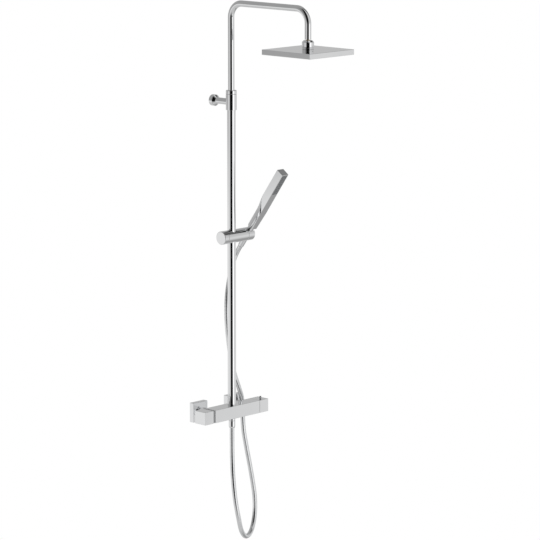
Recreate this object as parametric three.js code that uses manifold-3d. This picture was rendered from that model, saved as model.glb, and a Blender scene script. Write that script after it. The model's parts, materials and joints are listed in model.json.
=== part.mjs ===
// Rainfall shower column: a thermostatic bar mixer on two wall unions, a telescopic riser with a
// bent arm and a square rain head, and a stick hand shower in a slider on the riser.
// Millimetres. +X runs along the wall to the right, +Y into the wall, +Z up.
// The origin is on the wall plane, midway between the two inlets and at their height.
import * as THREE from 'three';
import * as BufferGeometryUtils from 'three/addons/utils/BufferGeometryUtils.js';
import Module from 'manifold-3d';

const wasm = await Module();
wasm.setup();

// ---- driving dimensions ----
const INLET_SPACING = 150;
const BAR_STANDOFF = 80;             // wall to the axis of the bar and of the riser
const BAR_LENGTH = 279;
const BAR_DEPTH = 45;
const BAR_HEIGHT = 40;
const FLOW_KNOB_LENGTH = 36;
const FLOW_RECESS = 8;
const TEMPERATURE_KNOB_LENGTH = 38;
const ESCUTCHEON_SIDE = 61;
const ESCUTCHEON_DEPTH = 17;
const ESCUTCHEON_WALL = 4;
const ESCUTCHEON_HOLLOW = 22;        // radius of the hollow behind the cover
const RISER_WALL = 2;
const GUIDE_BUSH_WALL = 0.6;
const ARM_RADIUS = 9.8;
const ARM_WALL = 1.8;
const ARM_HEIGHT = 1268;             // inlets to the axis of the horizontal arm
const ARM_REACH = 319;               // riser axis to the axis of the rain head
const ARM_BEND = 45;
const ARM_DROP = 89.2;               // arm axis down to the end of the tube
const ARM_OVERLAP = 344;             // length of the upper tube inside the riser and collar
const COLLAR_BOTTOM = 941;
const COLLAR_LENGTH = 49;
const COLLAR_WALL = 3.2;
const COLLAR_CAP = 5;                // collar above the end of the lower tube
const CLAMP_RING_LENGTH = 11.5;
const CLAMP_RING_CHAMFER = 1;
const BRACKET_RISE = 24;             // bottom of the collar to the axis of the bracket
const NECK_RADIUS = 9.8;
const ROSETTE_RADIUS = 17.5;
const ROSETTE_THICKNESS = 13.5;
const HEAD_SIDE = 194;
const HEAD_THICKNESS = 16;
const HEAD_WALL = 4;
const NOZZLES_PER_ROW = 7;
const SWIVEL_NUT_RADIUS = 18;
const SWIVEL_NUT_LENGTH = 27;
const SWIVEL_ROOM = 2.5;             // between the nut and the tube, for the head to tilt
const BALL_RADIUS = 8.6;
const BALL_RISE = 10.7;              // foot of the swivel nut to the middle of the ball
const SLIDER_HEIGHT = 549.5;
const SLIDER_RADIUS = 20.5;
const CLAMP_KNOB_END = -47;
const CLAMP_KNOB_LENGTH = 17;
const CLAMP_KNOB_CAP = 4;            // left end of the knob beyond its screw
const HOLDER_START = 57.5;
const HOLDER_SIDE_WALL = 2.55;       // beside the widest part of the socket
const HANDSET_LEAN = 36;             // degrees forward of upright
const HANDSET_SIDE = 27;
const HANDSET_FOOT = 30.6;           // distances along the handset from the holder's axis
const HANDSET_TOP = 256;
const ROUNDING_TOP = 155;
const ROUNDING_FULL = 95;
const SPRAY_FACE_LENGTH = 76;
const SPRAY_FACE_MARGIN = 4;
const CONE_NUT_TOP = 22;
const CONE_NUT_BOTTOM = -50;
const CONE_NUT_RADIUS = 10.2;
const CONE_NUT_FOOT_RADIUS = 8.9;
const CONE_NUT_FACE_RADIUS = 6.4;    // its foot is drawn in, to clear the hose as it tilts
const CONE_NUT_CHAMFER = 1.1;
const HOSE_RADIUS = 7.5;
const HOSE_NUT_RADIUS = 10.3;
const HOSE_NUT_LENGTH = 29;
const HOSE_NUT_DROP = 4;             // bar to the top of the nut
const HOSE_NUT_TAPER = 1.5;
const HOSE_NUT_TAPER_LENGTH = 4;
const GAP = 0.3;                     // clearance between pieces that touch
const OVERCUT = 1;                   // how far a cut, or a joined shape, goes past a face
const SIDES = 16;                    // facets round a turned piece
const FINE_SIDES = 24;               // facets round a large one
const PIN_SIDES = 10;                // facets round a screw or pin

// ---- places that follow from them ----
const BAR_Y = -BAR_STANDOFF;
const BAR_BACK = BAR_Y + BAR_DEPTH / 2;
const BAR_FRONT = BAR_Y - BAR_DEPTH / 2;
const BAR_TOP = BAR_HEIGHT / 2;
const BAR_LEFT = -BAR_LENGTH / 2;
const BAR_RIGHT = BAR_LENGTH / 2;
const FLOW_KNOB_INNER = BAR_LEFT + FLOW_KNOB_LENGTH;
const BODY_LEFT = FLOW_KNOB_INNER + FLOW_RECESS;
const TEMPERATURE_KNOB_INNER = BAR_RIGHT - TEMPERATURE_KNOB_LENGTH;
const BODY_RIGHT = TEMPERATURE_KNOB_INNER - 2 * GAP;
const HEAD_Y = BAR_Y - ARM_REACH;
const DROP_END = ARM_HEIGHT - ARM_DROP;
const NUT_TOP = DROP_END - SWIVEL_ROOM;
const NUT_BOTTOM = NUT_TOP - SWIVEL_NUT_LENGTH;
const HEAD_TOP = NUT_BOTTOM - GAP;
const HEAD_BOTTOM = HEAD_TOP - HEAD_THICKNESS;
const BALL_HEIGHT = NUT_BOTTOM + BALL_RISE;
const COLLAR_TOP = COLLAR_BOTTOM + COLLAR_LENGTH;
const BRACKET_HEIGHT = COLLAR_BOTTOM + BRACKET_RISE;
const RISER_TOP = COLLAR_TOP - COLLAR_CAP;
const ARM_FOOT = COLLAR_TOP - ARM_OVERLAP;
const RISER_BORE = ARM_RADIUS + GUIDE_BUSH_WALL + 2 * GAP;
const RISER_RADIUS = RISER_BORE + RISER_WALL;
const COLLAR_RADIUS = RISER_RADIUS + GAP + COLLAR_WALL;
const HOLDER_LENGTH = 2 * (CONE_NUT_RADIUS + HOLDER_SIDE_WALL);
const HOLDER_X = HOLDER_START + HOLDER_LENGTH / 2;
const HOSE_NUT_TOP = -BAR_TOP - HOSE_NUT_DROP;
const HOSE_NUT_BOTTOM = HOSE_NUT_TOP - HOSE_NUT_LENGTH;

// ---- looks ----
const look = (color, roughness, metalness) => () => (
  new THREE.MeshStandardMaterial({ color, roughness, metalness }));
const chrome = look(0xd4d7d8, 0.08, 1);
const brass = look(0xb08d4c, 0.35, 1);
const greyPlastic = look(0x86898c, 0.45, 0);
const whitePlastic = look(0xe8e8e4, 0.45, 0);
const rubber = look(0x4d5256, 0.75, 0);
const steel = look(0xaeb2b5, 0.3, 1);
const hoseMetal = look(0xc9cccd, 0.25, 1);

// ---- geometry helpers ----
// One closed surface with shared vertices and its faces pointing out.
function closed(geometry) {
  const bare = geometry.clone();
  bare.deleteAttribute('normal');
  bare.deleteAttribute('uv');
  const merged = BufferGeometryUtils.mergeVertices(bare);
  const corners = Array.from(merged.index.array);
  const position = merged.getAttribute('position');
  const at = (i) => new THREE.Vector3().fromBufferAttribute(position, i);
  const faces = [];
  let volume = 0;
  for (let i = 0; i < corners.length; i += 3) {
    const [a, b, c] = corners.slice(i, i + 3);
    if (a === b || b === c || c === a) continue;
    faces.push([a, b, c]);
    volume += at(a).dot(at(b).cross(at(c)));
  }
  merged.setIndex(faces.flatMap(([a, b, c]) => (volume < 0 ? [a, c, b] : [a, b, c])));
  return merged;
}

function solid(geometry) {
  const merged = closed(geometry);
  return new wasm.Manifold(new wasm.Mesh({
    numProp: 3,
    vertProperties: new Float32Array(merged.getAttribute('position').array),
    triVerts: new Uint32Array(merged.index.array),
  }));
}

function cut(base, ...tools) {
  const result = tools.reduce((body, tool) => body.subtract(solid(tool)), solid(base));
  return fromSolid(result);
}

function join(base, ...others) {
  const result = others.reduce((body, other) => body.add(solid(other)), solid(base));
  return fromSolid(result);
}

function fromSolid(body) {
  const mesh = body.getMesh();
  const geometry = new THREE.BufferGeometry();
  geometry.setAttribute('position', new THREE.BufferAttribute(mesh.vertProperties, 3));
  geometry.setIndex(new THREE.BufferAttribute(mesh.triVerts, 1));
  return geometry;
}

function block([x0, x1], [y0, y1], [z0, z1]) {
  const box = new THREE.BoxGeometry(x1 - x0, y1 - y0, z1 - z0);
  return box.translate((x0 + x1) / 2, (y0 + y1) / 2, (z0 + z1) / 2);
}

// Turns a shape made along +Y to run along the named axis, then moves it to its centre line.
function along(axis, [u, v], geometry) {
  if (axis === 'x') return geometry.rotateZ(-Math.PI / 2).translate(0, u, v);
  if (axis === 'z') return geometry.rotateX(Math.PI / 2).translate(u, v, 0);
  return geometry.translate(u, 0, v);
}

// A piece turned about an axis; the outline is [radius, station] and meets the axis at both ends.
function turned(axis, centre, outline, sides = SIDES) {
  const points = outline.map(([radius, station]) => new THREE.Vector2(radius, station));
  return closed(along(axis, centre, new THREE.LatheGeometry(points, sides)));
}

// A turned piece with an open bore: the outline closes on itself.
function ring(axis, centre, outline, sides = SIDES) {
  return turned(axis, centre, [...outline, outline[0]], sides);
}

function rod(axis, centre, radius, from, to, sides = SIDES) {
  return turned(axis, centre, [[0, from], [radius, from], [radius, to], [0, to]], sides);
}

function pipe(axis, centre, outer, inner, from, to, sides = SIDES) {
  return ring(axis, centre, [[inner, from], [outer, from], [outer, to], [inner, to]], sides);
}

// A skin through sections of equally many points, with flat ends.
function loft(sections) {
  const count = sections[0].length;
  const position = sections.flat().flatMap((point) => point.toArray());
  const index = [];
  for (let row = 0; row < sections.length - 1; row += 1) {
    for (let i = 0; i < count; i += 1) {
      const a = row * count + i;
      const b = row * count + ((i + 1) % count);
      index.push(a, b, a + count, b, b + count, a + count);
    }
  }
  const last = (sections.length - 1) * count;
  for (let i = 1; i < count - 1; i += 1) {
    index.push(0, i + 1, i, last, last + i, last + i + 1);
  }
  const geometry = new THREE.BufferGeometry();
  geometry.setAttribute('position', new THREE.Float32BufferAttribute(position, 3));
  geometry.setIndex(index);
  return closed(geometry);
}

// A path that an extrusion follows from station to station, so long straights take one step.
class StationPath extends THREE.Curve {
  constructor(stations) {
    super();
    this.stations = stations;
  }

  station(u) {
    return this.stations[Math.round(u * (this.stations.length - 1))];
  }

  getPointAt(u, target = new THREE.Vector3()) {
    return target.copy(this.station(u).point);
  }

  getTangentAt(u, target = new THREE.Vector3()) {
    return target.copy(this.station(u).tangent);
  }
}

function circle(radius, sides) {
  const points = Array.from({ length: sides }, (_, i) => {
    const angle = (2 * Math.PI * i) / sides;
    return new THREE.Vector2(radius * Math.cos(angle), radius * Math.sin(angle));
  });
  return new THREE.Shape(points);
}

function sweep(shape, path, steps) {
  const geometry = new THREE.ExtrudeGeometry(shape, { extrudePath: path, steps, curveSegments: 1 });
  return closed(geometry);
}

// ---- the model ----
const group = new THREE.Group();
const leaned = new THREE.Group();    // the holder and hand shower, upright in their own frame
leaned.position.set(HOLDER_X, BAR_Y, SLIDER_HEIGHT);
leaned.rotation.x = THREE.MathUtils.degToRad(HANDSET_LEAN);
group.add(leaned);

function place(name, geometry, material, parent = group) {
  const mesh = new THREE.Mesh(geometry, material());
  mesh.name = name;
  parent.add(mesh);
}

const BAR_AXIS = [BAR_Y, 0];         // centre line of pieces turned about the bar's axis
const RISER_AXIS = [0, BAR_Y];
const HEAD_AXIS = [0, HEAD_Y];

// Wall unions, nuts, washers, filters and square escutcheons, one set per inlet.
const UNION_RADIUS = 10;
const UNION_BORE = 7;
const UNION_FLANGE_RADIUS = UNION_RADIUS + 2;
const UNION_FLANGE = 4;
const WASHER_THICKNESS = 2.6;
const UNION_NUT_WALL = 1.2;
const UNION_NUT_RADIUS = (UNION_FLANGE_RADIUS + GAP + UNION_NUT_WALL) / Math.cos(Math.PI / 6);
const UNION_NUT_LENGTH = 33;
const PORT_RADIUS = 8.5;
const FILTER_LENGTH = 8;
const FILTER_FLOOR = 2;
const FILTER_CUP = 6.5;
const FILTER_BORE = 5;
const UNION_FACE = BAR_BACK + WASHER_THICKNESS + 2 * GAP;

function inlet(side, x) {
  const centre = [x, 0];
  const half = ESCUTCHEON_SIDE / 2;
  place(`escutcheon_${side}`, cut(
    block([x - half, x + half], [-ESCUTCHEON_DEPTH, 0], [-half, half]),
    rod('y', centre, UNION_RADIUS + GAP, -ESCUTCHEON_DEPTH - OVERCUT, OVERCUT),
    rod('y', centre, ESCUTCHEON_HOLLOW, -ESCUTCHEON_DEPTH + ESCUTCHEON_WALL, OVERCUT),
  ), chrome);
  place(`wall_union_${side}`, ring('y', centre, [
    [UNION_BORE, UNION_FACE],
    [UNION_FLANGE_RADIUS, UNION_FACE],
    [UNION_FLANGE_RADIUS, UNION_FACE + UNION_FLANGE],
    [UNION_RADIUS, UNION_FACE + UNION_FLANGE],
    [UNION_RADIUS, 0],
    [UNION_BORE, 0],
  ]), brass);
  const nutFace = BAR_BACK + GAP;
  place(`union_nut_${side}`, cut(
    rod('y', centre, UNION_NUT_RADIUS, nutFace, nutFace + UNION_NUT_LENGTH, 6),
    rod('y', centre, UNION_FLANGE_RADIUS + GAP, nutFace - OVERCUT, UNION_FACE + UNION_FLANGE + GAP),
    rod('y', centre, UNION_RADIUS + GAP, nutFace - OVERCUT, nutFace + UNION_NUT_LENGTH + OVERCUT),
  ), chrome);
  place(`union_washer_${side}`, pipe('y', centre, UNION_FLANGE_RADIUS - GAP, PORT_RADIUS,
    BAR_BACK + GAP, BAR_BACK + GAP + WASHER_THICKNESS), rubber);
  place(`inlet_filter_${side}`, ring('y', centre, [
    [FILTER_BORE, BAR_BACK - FILTER_LENGTH],
    [PORT_RADIUS - GAP, BAR_BACK - FILTER_LENGTH],
    [PORT_RADIUS - GAP, BAR_BACK - GAP],
    [FILTER_CUP, BAR_BACK - GAP],
    [FILTER_CUP, BAR_BACK - FILTER_LENGTH + FILTER_FLOOR],
    [FILTER_BORE, BAR_BACK - FILTER_LENGTH + FILTER_FLOOR],
  ]), steel);
}
inlet('left', -INLET_SPACING / 2);
inlet('right', INLET_SPACING / 2);

// Bar body: a casting with a cartridge bore at each end, inlets behind, riser port above and
// hose outlet below.
const FLOW_BORE = 13;
const FLOW_BORE_DEPTH = 54;
const THERMO_BORE = 14.5;
const THERMO_BORE_DEPTH = 66;
const CHAMBER_RADIUS = 8;
const RISER_SEAT = 11;               // depth of the riser in the bar
const OUTLET_RADIUS = 8;
place('valve_body', cut(
  block([BODY_LEFT, BODY_RIGHT], [BAR_FRONT, BAR_BACK], [-BAR_TOP, BAR_TOP]),
  rod('x', BAR_AXIS, FLOW_BORE, BODY_LEFT - OVERCUT, BODY_LEFT + FLOW_BORE_DEPTH),
  rod('x', BAR_AXIS, THERMO_BORE, BODY_RIGHT - THERMO_BORE_DEPTH, BODY_RIGHT + OVERCUT),
  rod('x', BAR_AXIS, CHAMBER_RADIUS, BODY_LEFT + OVERCUT, BODY_RIGHT - OVERCUT),
  rod('y', [-INLET_SPACING / 2, 0], PORT_RADIUS, BAR_Y, BAR_BACK + OVERCUT),
  rod('y', [INLET_SPACING / 2, 0], PORT_RADIUS, BAR_Y, BAR_BACK + OVERCUT),
  rod('z', RISER_AXIS, RISER_RADIUS + GAP, BAR_TOP - RISER_SEAT - GAP, BAR_TOP + OVERCUT,
    FINE_SIDES),
  rod('z', RISER_AXIS, CHAMBER_RADIUS, 0, BAR_TOP),
  rod('z', RISER_AXIS, OUTLET_RADIUS + GAP, -BAR_TOP - OVERCUT, 0),
), chrome);

// Flow control: a cartridge in the left bore, a square grey stop ring in the recess and a square
// knob on the spindle.
const FLOW_SPINDLE = 4;
const FLOW_SPINDLE_IN_BODY = 34;
const FLOW_SPINDLE_IN_KNOB = 17;
const STOP_RING_INSET = 1;
place('flow_cartridge', cut(
  rod('x', BAR_AXIS, FLOW_BORE - GAP, BODY_LEFT + GAP, BODY_LEFT + FLOW_BORE_DEPTH - GAP),
  rod('x', BAR_AXIS, FLOW_SPINDLE + GAP, BODY_LEFT - OVERCUT,
    BODY_LEFT + FLOW_SPINDLE_IN_BODY + GAP),
), brass);
place('flow_stop_ring', cut(
  block([FLOW_KNOB_INNER + GAP, BODY_LEFT - GAP],
    [BAR_FRONT + STOP_RING_INSET, BAR_BACK - STOP_RING_INSET],
    [-BAR_TOP + STOP_RING_INSET, BAR_TOP - STOP_RING_INSET]),
  rod('x', BAR_AXIS, FLOW_SPINDLE + GAP, FLOW_KNOB_INNER - OVERCUT, BODY_LEFT + OVERCUT),
), greyPlastic);
place('flow_spindle', rod('x', BAR_AXIS, FLOW_SPINDLE,
  FLOW_KNOB_INNER - FLOW_SPINDLE_IN_KNOB, BODY_LEFT + FLOW_SPINDLE_IN_BODY), brass);
place('flow_knob', cut(
  block([BAR_LEFT, FLOW_KNOB_INNER], [BAR_FRONT, BAR_BACK], [-BAR_TOP, BAR_TOP]),
  rod('x', BAR_AXIS, FLOW_SPINDLE + GAP,
    FLOW_KNOB_INNER - FLOW_SPINDLE_IN_KNOB - GAP, FLOW_KNOB_INNER + OVERCUT),
), chrome);

// Temperature control: a thermostatic cartridge in the right bore, a square knob on its spindle
// and a sprung stop button that stands in the top of the knob.
const THERMO_SPINDLE = 5;
const THERMO_SPINDLE_IN_BODY = 20;
const THERMO_SPINDLE_IN_KNOB = 22;
const BUTTON_RADIUS = 2.9;
const BUTTON_HEIGHT = 12;
const BUTTON_X = TEMPERATURE_KNOB_INNER + 8.5;
const BUTTON_Y = BAR_FRONT + 6;
const BUTTON_FLOOR = 7.5;
const BUTTON_FOOT = 13.5;
const SPRING_WIRE = 0.5;
const SPRING_TURNS = 3;
const SPRING_STEPS = 24;
place('thermostatic_cartridge', cut(
  rod('x', BAR_AXIS, THERMO_BORE - GAP, BODY_RIGHT - THERMO_BORE_DEPTH + GAP, BODY_RIGHT - GAP),
  rod('x', BAR_AXIS, THERMO_SPINDLE + GAP, BODY_RIGHT - THERMO_SPINDLE_IN_BODY - GAP,
    BODY_RIGHT + OVERCUT),
), brass);
place('temperature_spindle', rod('x', BAR_AXIS, THERMO_SPINDLE,
  BODY_RIGHT - THERMO_SPINDLE_IN_BODY, TEMPERATURE_KNOB_INNER + THERMO_SPINDLE_IN_KNOB), brass);
place('temperature_knob', cut(
  block([TEMPERATURE_KNOB_INNER, BAR_RIGHT], [BAR_FRONT, BAR_BACK], [-BAR_TOP, BAR_TOP]),
  rod('x', BAR_AXIS, THERMO_SPINDLE + GAP, TEMPERATURE_KNOB_INNER - OVERCUT,
    TEMPERATURE_KNOB_INNER + THERMO_SPINDLE_IN_KNOB + GAP),
  rod('z', [BUTTON_X, BUTTON_Y], BUTTON_RADIUS + GAP, BUTTON_FLOOR, BAR_TOP + OVERCUT),
), chrome);
place('temperature_stop_button', rod('z', [BUTTON_X, BUTTON_Y], BUTTON_RADIUS,
  BUTTON_FOOT, BAR_TOP + BUTTON_HEIGHT), greyPlastic);

function springPath() {
  const bottom = BUTTON_FLOOR + GAP + SPRING_WIRE;
  const top = BUTTON_FOOT - GAP - SPRING_WIRE;
  const radius = BUTTON_RADIUS - SPRING_WIRE;
  const points = Array.from({ length: SPRING_STEPS + 1 }, (_, i) => {
    const turn = (i / SPRING_STEPS) * SPRING_TURNS * 2 * Math.PI;
    const height = THREE.MathUtils.lerp(bottom, top, i / SPRING_STEPS);
    return new THREE.Vector3(BUTTON_X + radius * Math.cos(turn),
      BUTTON_Y + radius * Math.sin(turn), height);
  });
  return new THREE.CatmullRomCurve3(points);
}
place('stop_button_spring', sweep(circle(SPRING_WIRE, 5), springPath(), SPRING_STEPS), steel);

// Hose outlet under the bar: nipple, washer and hose nut.
const OUTLET_BORE = 5;
const NIPPLE_IN_BODY = 12;
const NIPPLE_IN_NUT = 10;
const NIPPLE_FLANGE_RADIUS = 9.5;
const NIPPLE_BOTTOM = HOSE_NUT_TOP - NIPPLE_IN_NUT;
place('hose_outlet_nipple', ring('z', RISER_AXIS, [
  [OUTLET_BORE, NIPPLE_BOTTOM],
  [OUTLET_RADIUS, NIPPLE_BOTTOM],
  [OUTLET_RADIUS, HOSE_NUT_TOP + GAP],
  [NIPPLE_FLANGE_RADIUS, HOSE_NUT_TOP + GAP],
  [NIPPLE_FLANGE_RADIUS, -BAR_TOP - GAP],
  [OUTLET_RADIUS, -BAR_TOP - GAP],
  [OUTLET_RADIUS, -BAR_TOP + NIPPLE_IN_BODY],
  [OUTLET_BORE, -BAR_TOP + NIPPLE_IN_BODY],
]), chrome);
place('hose_outlet_washer', pipe('z', RISER_AXIS, OUTLET_RADIUS, OUTLET_BORE,
  NIPPLE_BOTTOM - GAP - WASHER_THICKNESS, NIPPLE_BOTTOM - GAP), rubber);
place('hose_nut', ring('z', RISER_AXIS, [
  [OUTLET_BORE, HOSE_NUT_BOTTOM],
  [HOSE_NUT_RADIUS - HOSE_NUT_TAPER, HOSE_NUT_BOTTOM],
  [HOSE_NUT_RADIUS, HOSE_NUT_BOTTOM + HOSE_NUT_TAPER_LENGTH],
  [HOSE_NUT_RADIUS, HOSE_NUT_TOP],
  [OUTLET_RADIUS + GAP, HOSE_NUT_TOP],
  [OUTLET_RADIUS + GAP, NIPPLE_BOTTOM - 2 * GAP - WASHER_THICKNESS],
  [OUTLET_BORE, NIPPLE_BOTTOM - 2 * GAP - WASHER_THICKNESS],
]), chrome);

// Riser: lower tube in the bar, seal ring under it, guide bush in its top, collar and clamp ring.
const SLIDE_BORE = ARM_RADIUS + GAP;
const GUIDE_BUSH_LENGTH = 30;
const END_BUSH_LENGTH = 20;
const SEAL_THICKNESS = 2;
const RISER_BOTTOM = BAR_TOP - RISER_SEAT + SEAL_THICKNESS + GAP;
place('riser_seal_ring', pipe('z', RISER_AXIS, RISER_RADIUS, RISER_BORE,
  BAR_TOP - RISER_SEAT, BAR_TOP - RISER_SEAT + SEAL_THICKNESS), rubber);
place('lower_riser_tube', pipe('z', RISER_AXIS, RISER_RADIUS, RISER_BORE,
  RISER_BOTTOM, RISER_TOP, FINE_SIDES), chrome);
place('riser_guide_bush', pipe('z', RISER_AXIS, RISER_BORE - GAP, SLIDE_BORE,
  RISER_TOP - GUIDE_BUSH_LENGTH, RISER_TOP, FINE_SIDES), whitePlastic);
place('upper_tube_end_bush', pipe('z', RISER_AXIS, RISER_BORE - GAP, SLIDE_BORE,
  ARM_FOOT, ARM_FOOT + END_BUSH_LENGTH, FINE_SIDES), whitePlastic);
place('riser_collar', ring('z', RISER_AXIS, [
  [RISER_RADIUS + GAP, COLLAR_BOTTOM],
  [COLLAR_RADIUS, COLLAR_BOTTOM],
  [COLLAR_RADIUS, COLLAR_TOP - GAP],
  [SLIDE_BORE, COLLAR_TOP - GAP],
  [SLIDE_BORE, RISER_TOP + GAP],
  [RISER_RADIUS + GAP, RISER_TOP + GAP],
], FINE_SIDES), chrome);
place('collar_clamp_ring', ring('z', RISER_AXIS, [
  [SLIDE_BORE, COLLAR_TOP],
  [COLLAR_RADIUS, COLLAR_TOP],
  [COLLAR_RADIUS, COLLAR_TOP + CLAMP_RING_LENGTH - CLAMP_RING_CHAMFER],
  [COLLAR_RADIUS - CLAMP_RING_CHAMFER, COLLAR_TOP + CLAMP_RING_LENGTH],
  [SLIDE_BORE, COLLAR_TOP + CLAMP_RING_LENGTH],
], FINE_SIDES), chrome);

// Wall bracket: a rosette on the wall, a stud through it, and a neck from it to the collar.
const BRACKET_AXIS = [0, BRACKET_HEIGHT];
const STUD_RADIUS = 3.5;
const STUD_LENGTH = 38;
const GRUB_RADIUS = 2;
const GRUB_Y = -26;
const NECK_END = -ROSETTE_THICKNESS - GAP;
const NECK_FLARE = 7;
const ROSETTE_BEVEL = 0.8;
const NECK_FOOT_RADIUS = ROSETTE_RADIUS - ROSETTE_BEVEL;
place('wall_rosette', ring('y', BRACKET_AXIS, [
  [STUD_RADIUS + GAP, -ROSETTE_THICKNESS],
  [ROSETTE_RADIUS - ROSETTE_BEVEL, -ROSETTE_THICKNESS],
  [ROSETTE_RADIUS, -ROSETTE_THICKNESS + ROSETTE_BEVEL],
  [ROSETTE_RADIUS, 0],
  [STUD_RADIUS + GAP, 0],
], FINE_SIDES), chrome);
place('wall_stud', rod('y', BRACKET_AXIS, STUD_RADIUS, -STUD_LENGTH, 0), steel);
place('bracket_neck', cut(
  turned('y', BRACKET_AXIS, [
    [0, BAR_Y + RISER_RADIUS],
    [NECK_RADIUS, BAR_Y + RISER_RADIUS],
    [NECK_RADIUS, NECK_END - NECK_FLARE],
    [NECK_FOOT_RADIUS, NECK_END],
    [0, NECK_END],
  ], FINE_SIDES),
  rod('z', RISER_AXIS, COLLAR_RADIUS + GAP, COLLAR_BOTTOM - COLLAR_LENGTH, COLLAR_TOP, FINE_SIDES),
  rod('y', BRACKET_AXIS, STUD_RADIUS + GAP, -STUD_LENGTH - GAP, OVERCUT),
  rod('z', [0, GRUB_Y], GRUB_RADIUS + GAP, BRACKET_HEIGHT - 2 * ROSETTE_RADIUS, BRACKET_HEIGHT),
), chrome);
place('bracket_grub_screw', rod('z', [0, GRUB_Y], GRUB_RADIUS,
  BRACKET_HEIGHT - NECK_RADIUS, BRACKET_HEIGHT - STUD_RADIUS - 2 * GAP, PIN_SIDES), steel);

// Upper tube: up out of the collar, over to the front and down to the rain head.
const BEND_STEPS = 6;
function quarterBend(centre, from) {
  return Array.from({ length: BEND_STEPS + 1 }, (_, i) => {
    const angle = from + (i / BEND_STEPS) * (Math.PI / 2);
    const out = new THREE.Vector3(0, Math.cos(angle), Math.sin(angle));
    const tangent = new THREE.Vector3(0, -Math.sin(angle), Math.cos(angle));
    return { point: out.multiplyScalar(ARM_BEND).add(centre), tangent };
  });
}
function armStations() {
  const up = new THREE.Vector3(0, 0, 1);
  const down = new THREE.Vector3(0, 0, -1);
  const bendHeight = ARM_HEIGHT - ARM_BEND;
  return [
    { point: new THREE.Vector3(0, BAR_Y, ARM_FOOT), tangent: up },
    ...quarterBend(new THREE.Vector3(0, BAR_Y - ARM_BEND, bendHeight), 0),
    ...quarterBend(new THREE.Vector3(0, HEAD_Y + ARM_BEND, bendHeight), Math.PI / 2),
    { point: new THREE.Vector3(0, HEAD_Y, DROP_END), tangent: down },
  ];
}
function armTube() {
  const stations = armStations();
  const section = circle(ARM_RADIUS, SIDES);
  section.holes.push(circle(ARM_RADIUS - ARM_WALL, SIDES));
  return sweep(section, new StationPath(stations), stations.length - 1);
}
place('upper_arm_tube', armTube(), chrome);

// Swivel of the rain head: a ball on a stem in the tube's end, held in the nut on the head.
const STEM_BORE = 2.6;
const STEM_NECK = 5;
const STEM_PLUG_LENGTH = 14;
const NUT_BORE = 10.5;
const NUT_LIP = 7.6;
const NUT_CONE = 5.3;
const LIP_RISE = 4.5;                // middle of the ball to the straight of the nut's lip
const LIP_SLOPE = 3;
const FRICTION_BORE = BALL_RADIUS - 0.9;
const FRICTION_BOTTOM = NUT_BOTTOM + 1.5;
const FRICTION_HEIGHT = 4.7;
const BALL_STEPS = 6;
function ballStemOutline() {
  const low = -Math.acos(STEM_BORE / BALL_RADIUS);
  const high = Math.acos(STEM_NECK / BALL_RADIUS);
  const ball = Array.from({ length: BALL_STEPS + 1 }, (_, i) => {
    const angle = THREE.MathUtils.lerp(low, high, i / BALL_STEPS);
    return [BALL_RADIUS * Math.cos(angle), BALL_HEIGHT + BALL_RADIUS * Math.sin(angle)];
  });
  const plug = ARM_RADIUS - ARM_WALL - GAP;
  return [
    ...ball,
    [STEM_NECK, DROP_END - GAP],
    [plug, DROP_END - GAP],
    [plug, DROP_END + STEM_PLUG_LENGTH],
    [STEM_BORE, DROP_END + STEM_PLUG_LENGTH],
  ];
}
place('ball_stem', ring('z', HEAD_AXIS, ballStemOutline()), brass);
place('head_friction_ring', pipe('z', HEAD_AXIS, BALL_RADIUS + GAP, FRICTION_BORE,
  FRICTION_BOTTOM, FRICTION_BOTTOM + FRICTION_HEIGHT), rubber);
place('swivel_nut', ring('z', HEAD_AXIS, [
  [NUT_BORE, NUT_BOTTOM],
  [SWIVEL_NUT_RADIUS, NUT_BOTTOM],
  [SWIVEL_NUT_RADIUS, NUT_TOP - NUT_CONE],
  [SWIVEL_NUT_RADIUS - NUT_CONE, NUT_TOP],
  [NUT_LIP, NUT_TOP],
  [NUT_LIP, BALL_HEIGHT + LIP_RISE],
  [NUT_BORE, BALL_HEIGHT + LIP_RISE - LIP_SLOPE],
], FINE_SIDES), chrome);

// Rain head: a square casing open below, a nozzle plate in it and four screws into its posts.
const HEAD_HALF = HEAD_SIDE / 2;
const HEAD_INLET_RADIUS = 4;
const POCKET_HALF = HEAD_HALF - HEAD_WALL;
const PLATE_HALF = POCKET_HALF - GAP;
const PLATE_THICKNESS = 3.6;
const PLATE_BOTTOM = HEAD_BOTTOM + GAP;
const PLATE_TOP = PLATE_BOTTOM + PLATE_THICKNESS;
const POST_INSET = 7;
const POST_RADIUS = 4;
const SCREW_RADIUS = 1.3;
const SCREW_HEAD = 2.6;
const SCREW_HEAD_DEPTH = 1.5;
const SCREW_ROOM = 1;                // beyond the end of each screw
const NOZZLE_RADIUS = 2.2;
const NOZZLE_TIP = 1.2;
const NOZZLE_HEIGHT = 1.2;
const NOZZLE_BORDER = 0.3;           // plain edge of the plate, in nozzle pitches
const NOZZLE_SIDES = 4;
const POST = POCKET_HALF - POST_INSET;
const posts = [[-POST, -POST], [POST, -POST], [POST, POST], [-POST, POST]]
  .map(([x, y]) => [x, HEAD_Y + y]);
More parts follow.
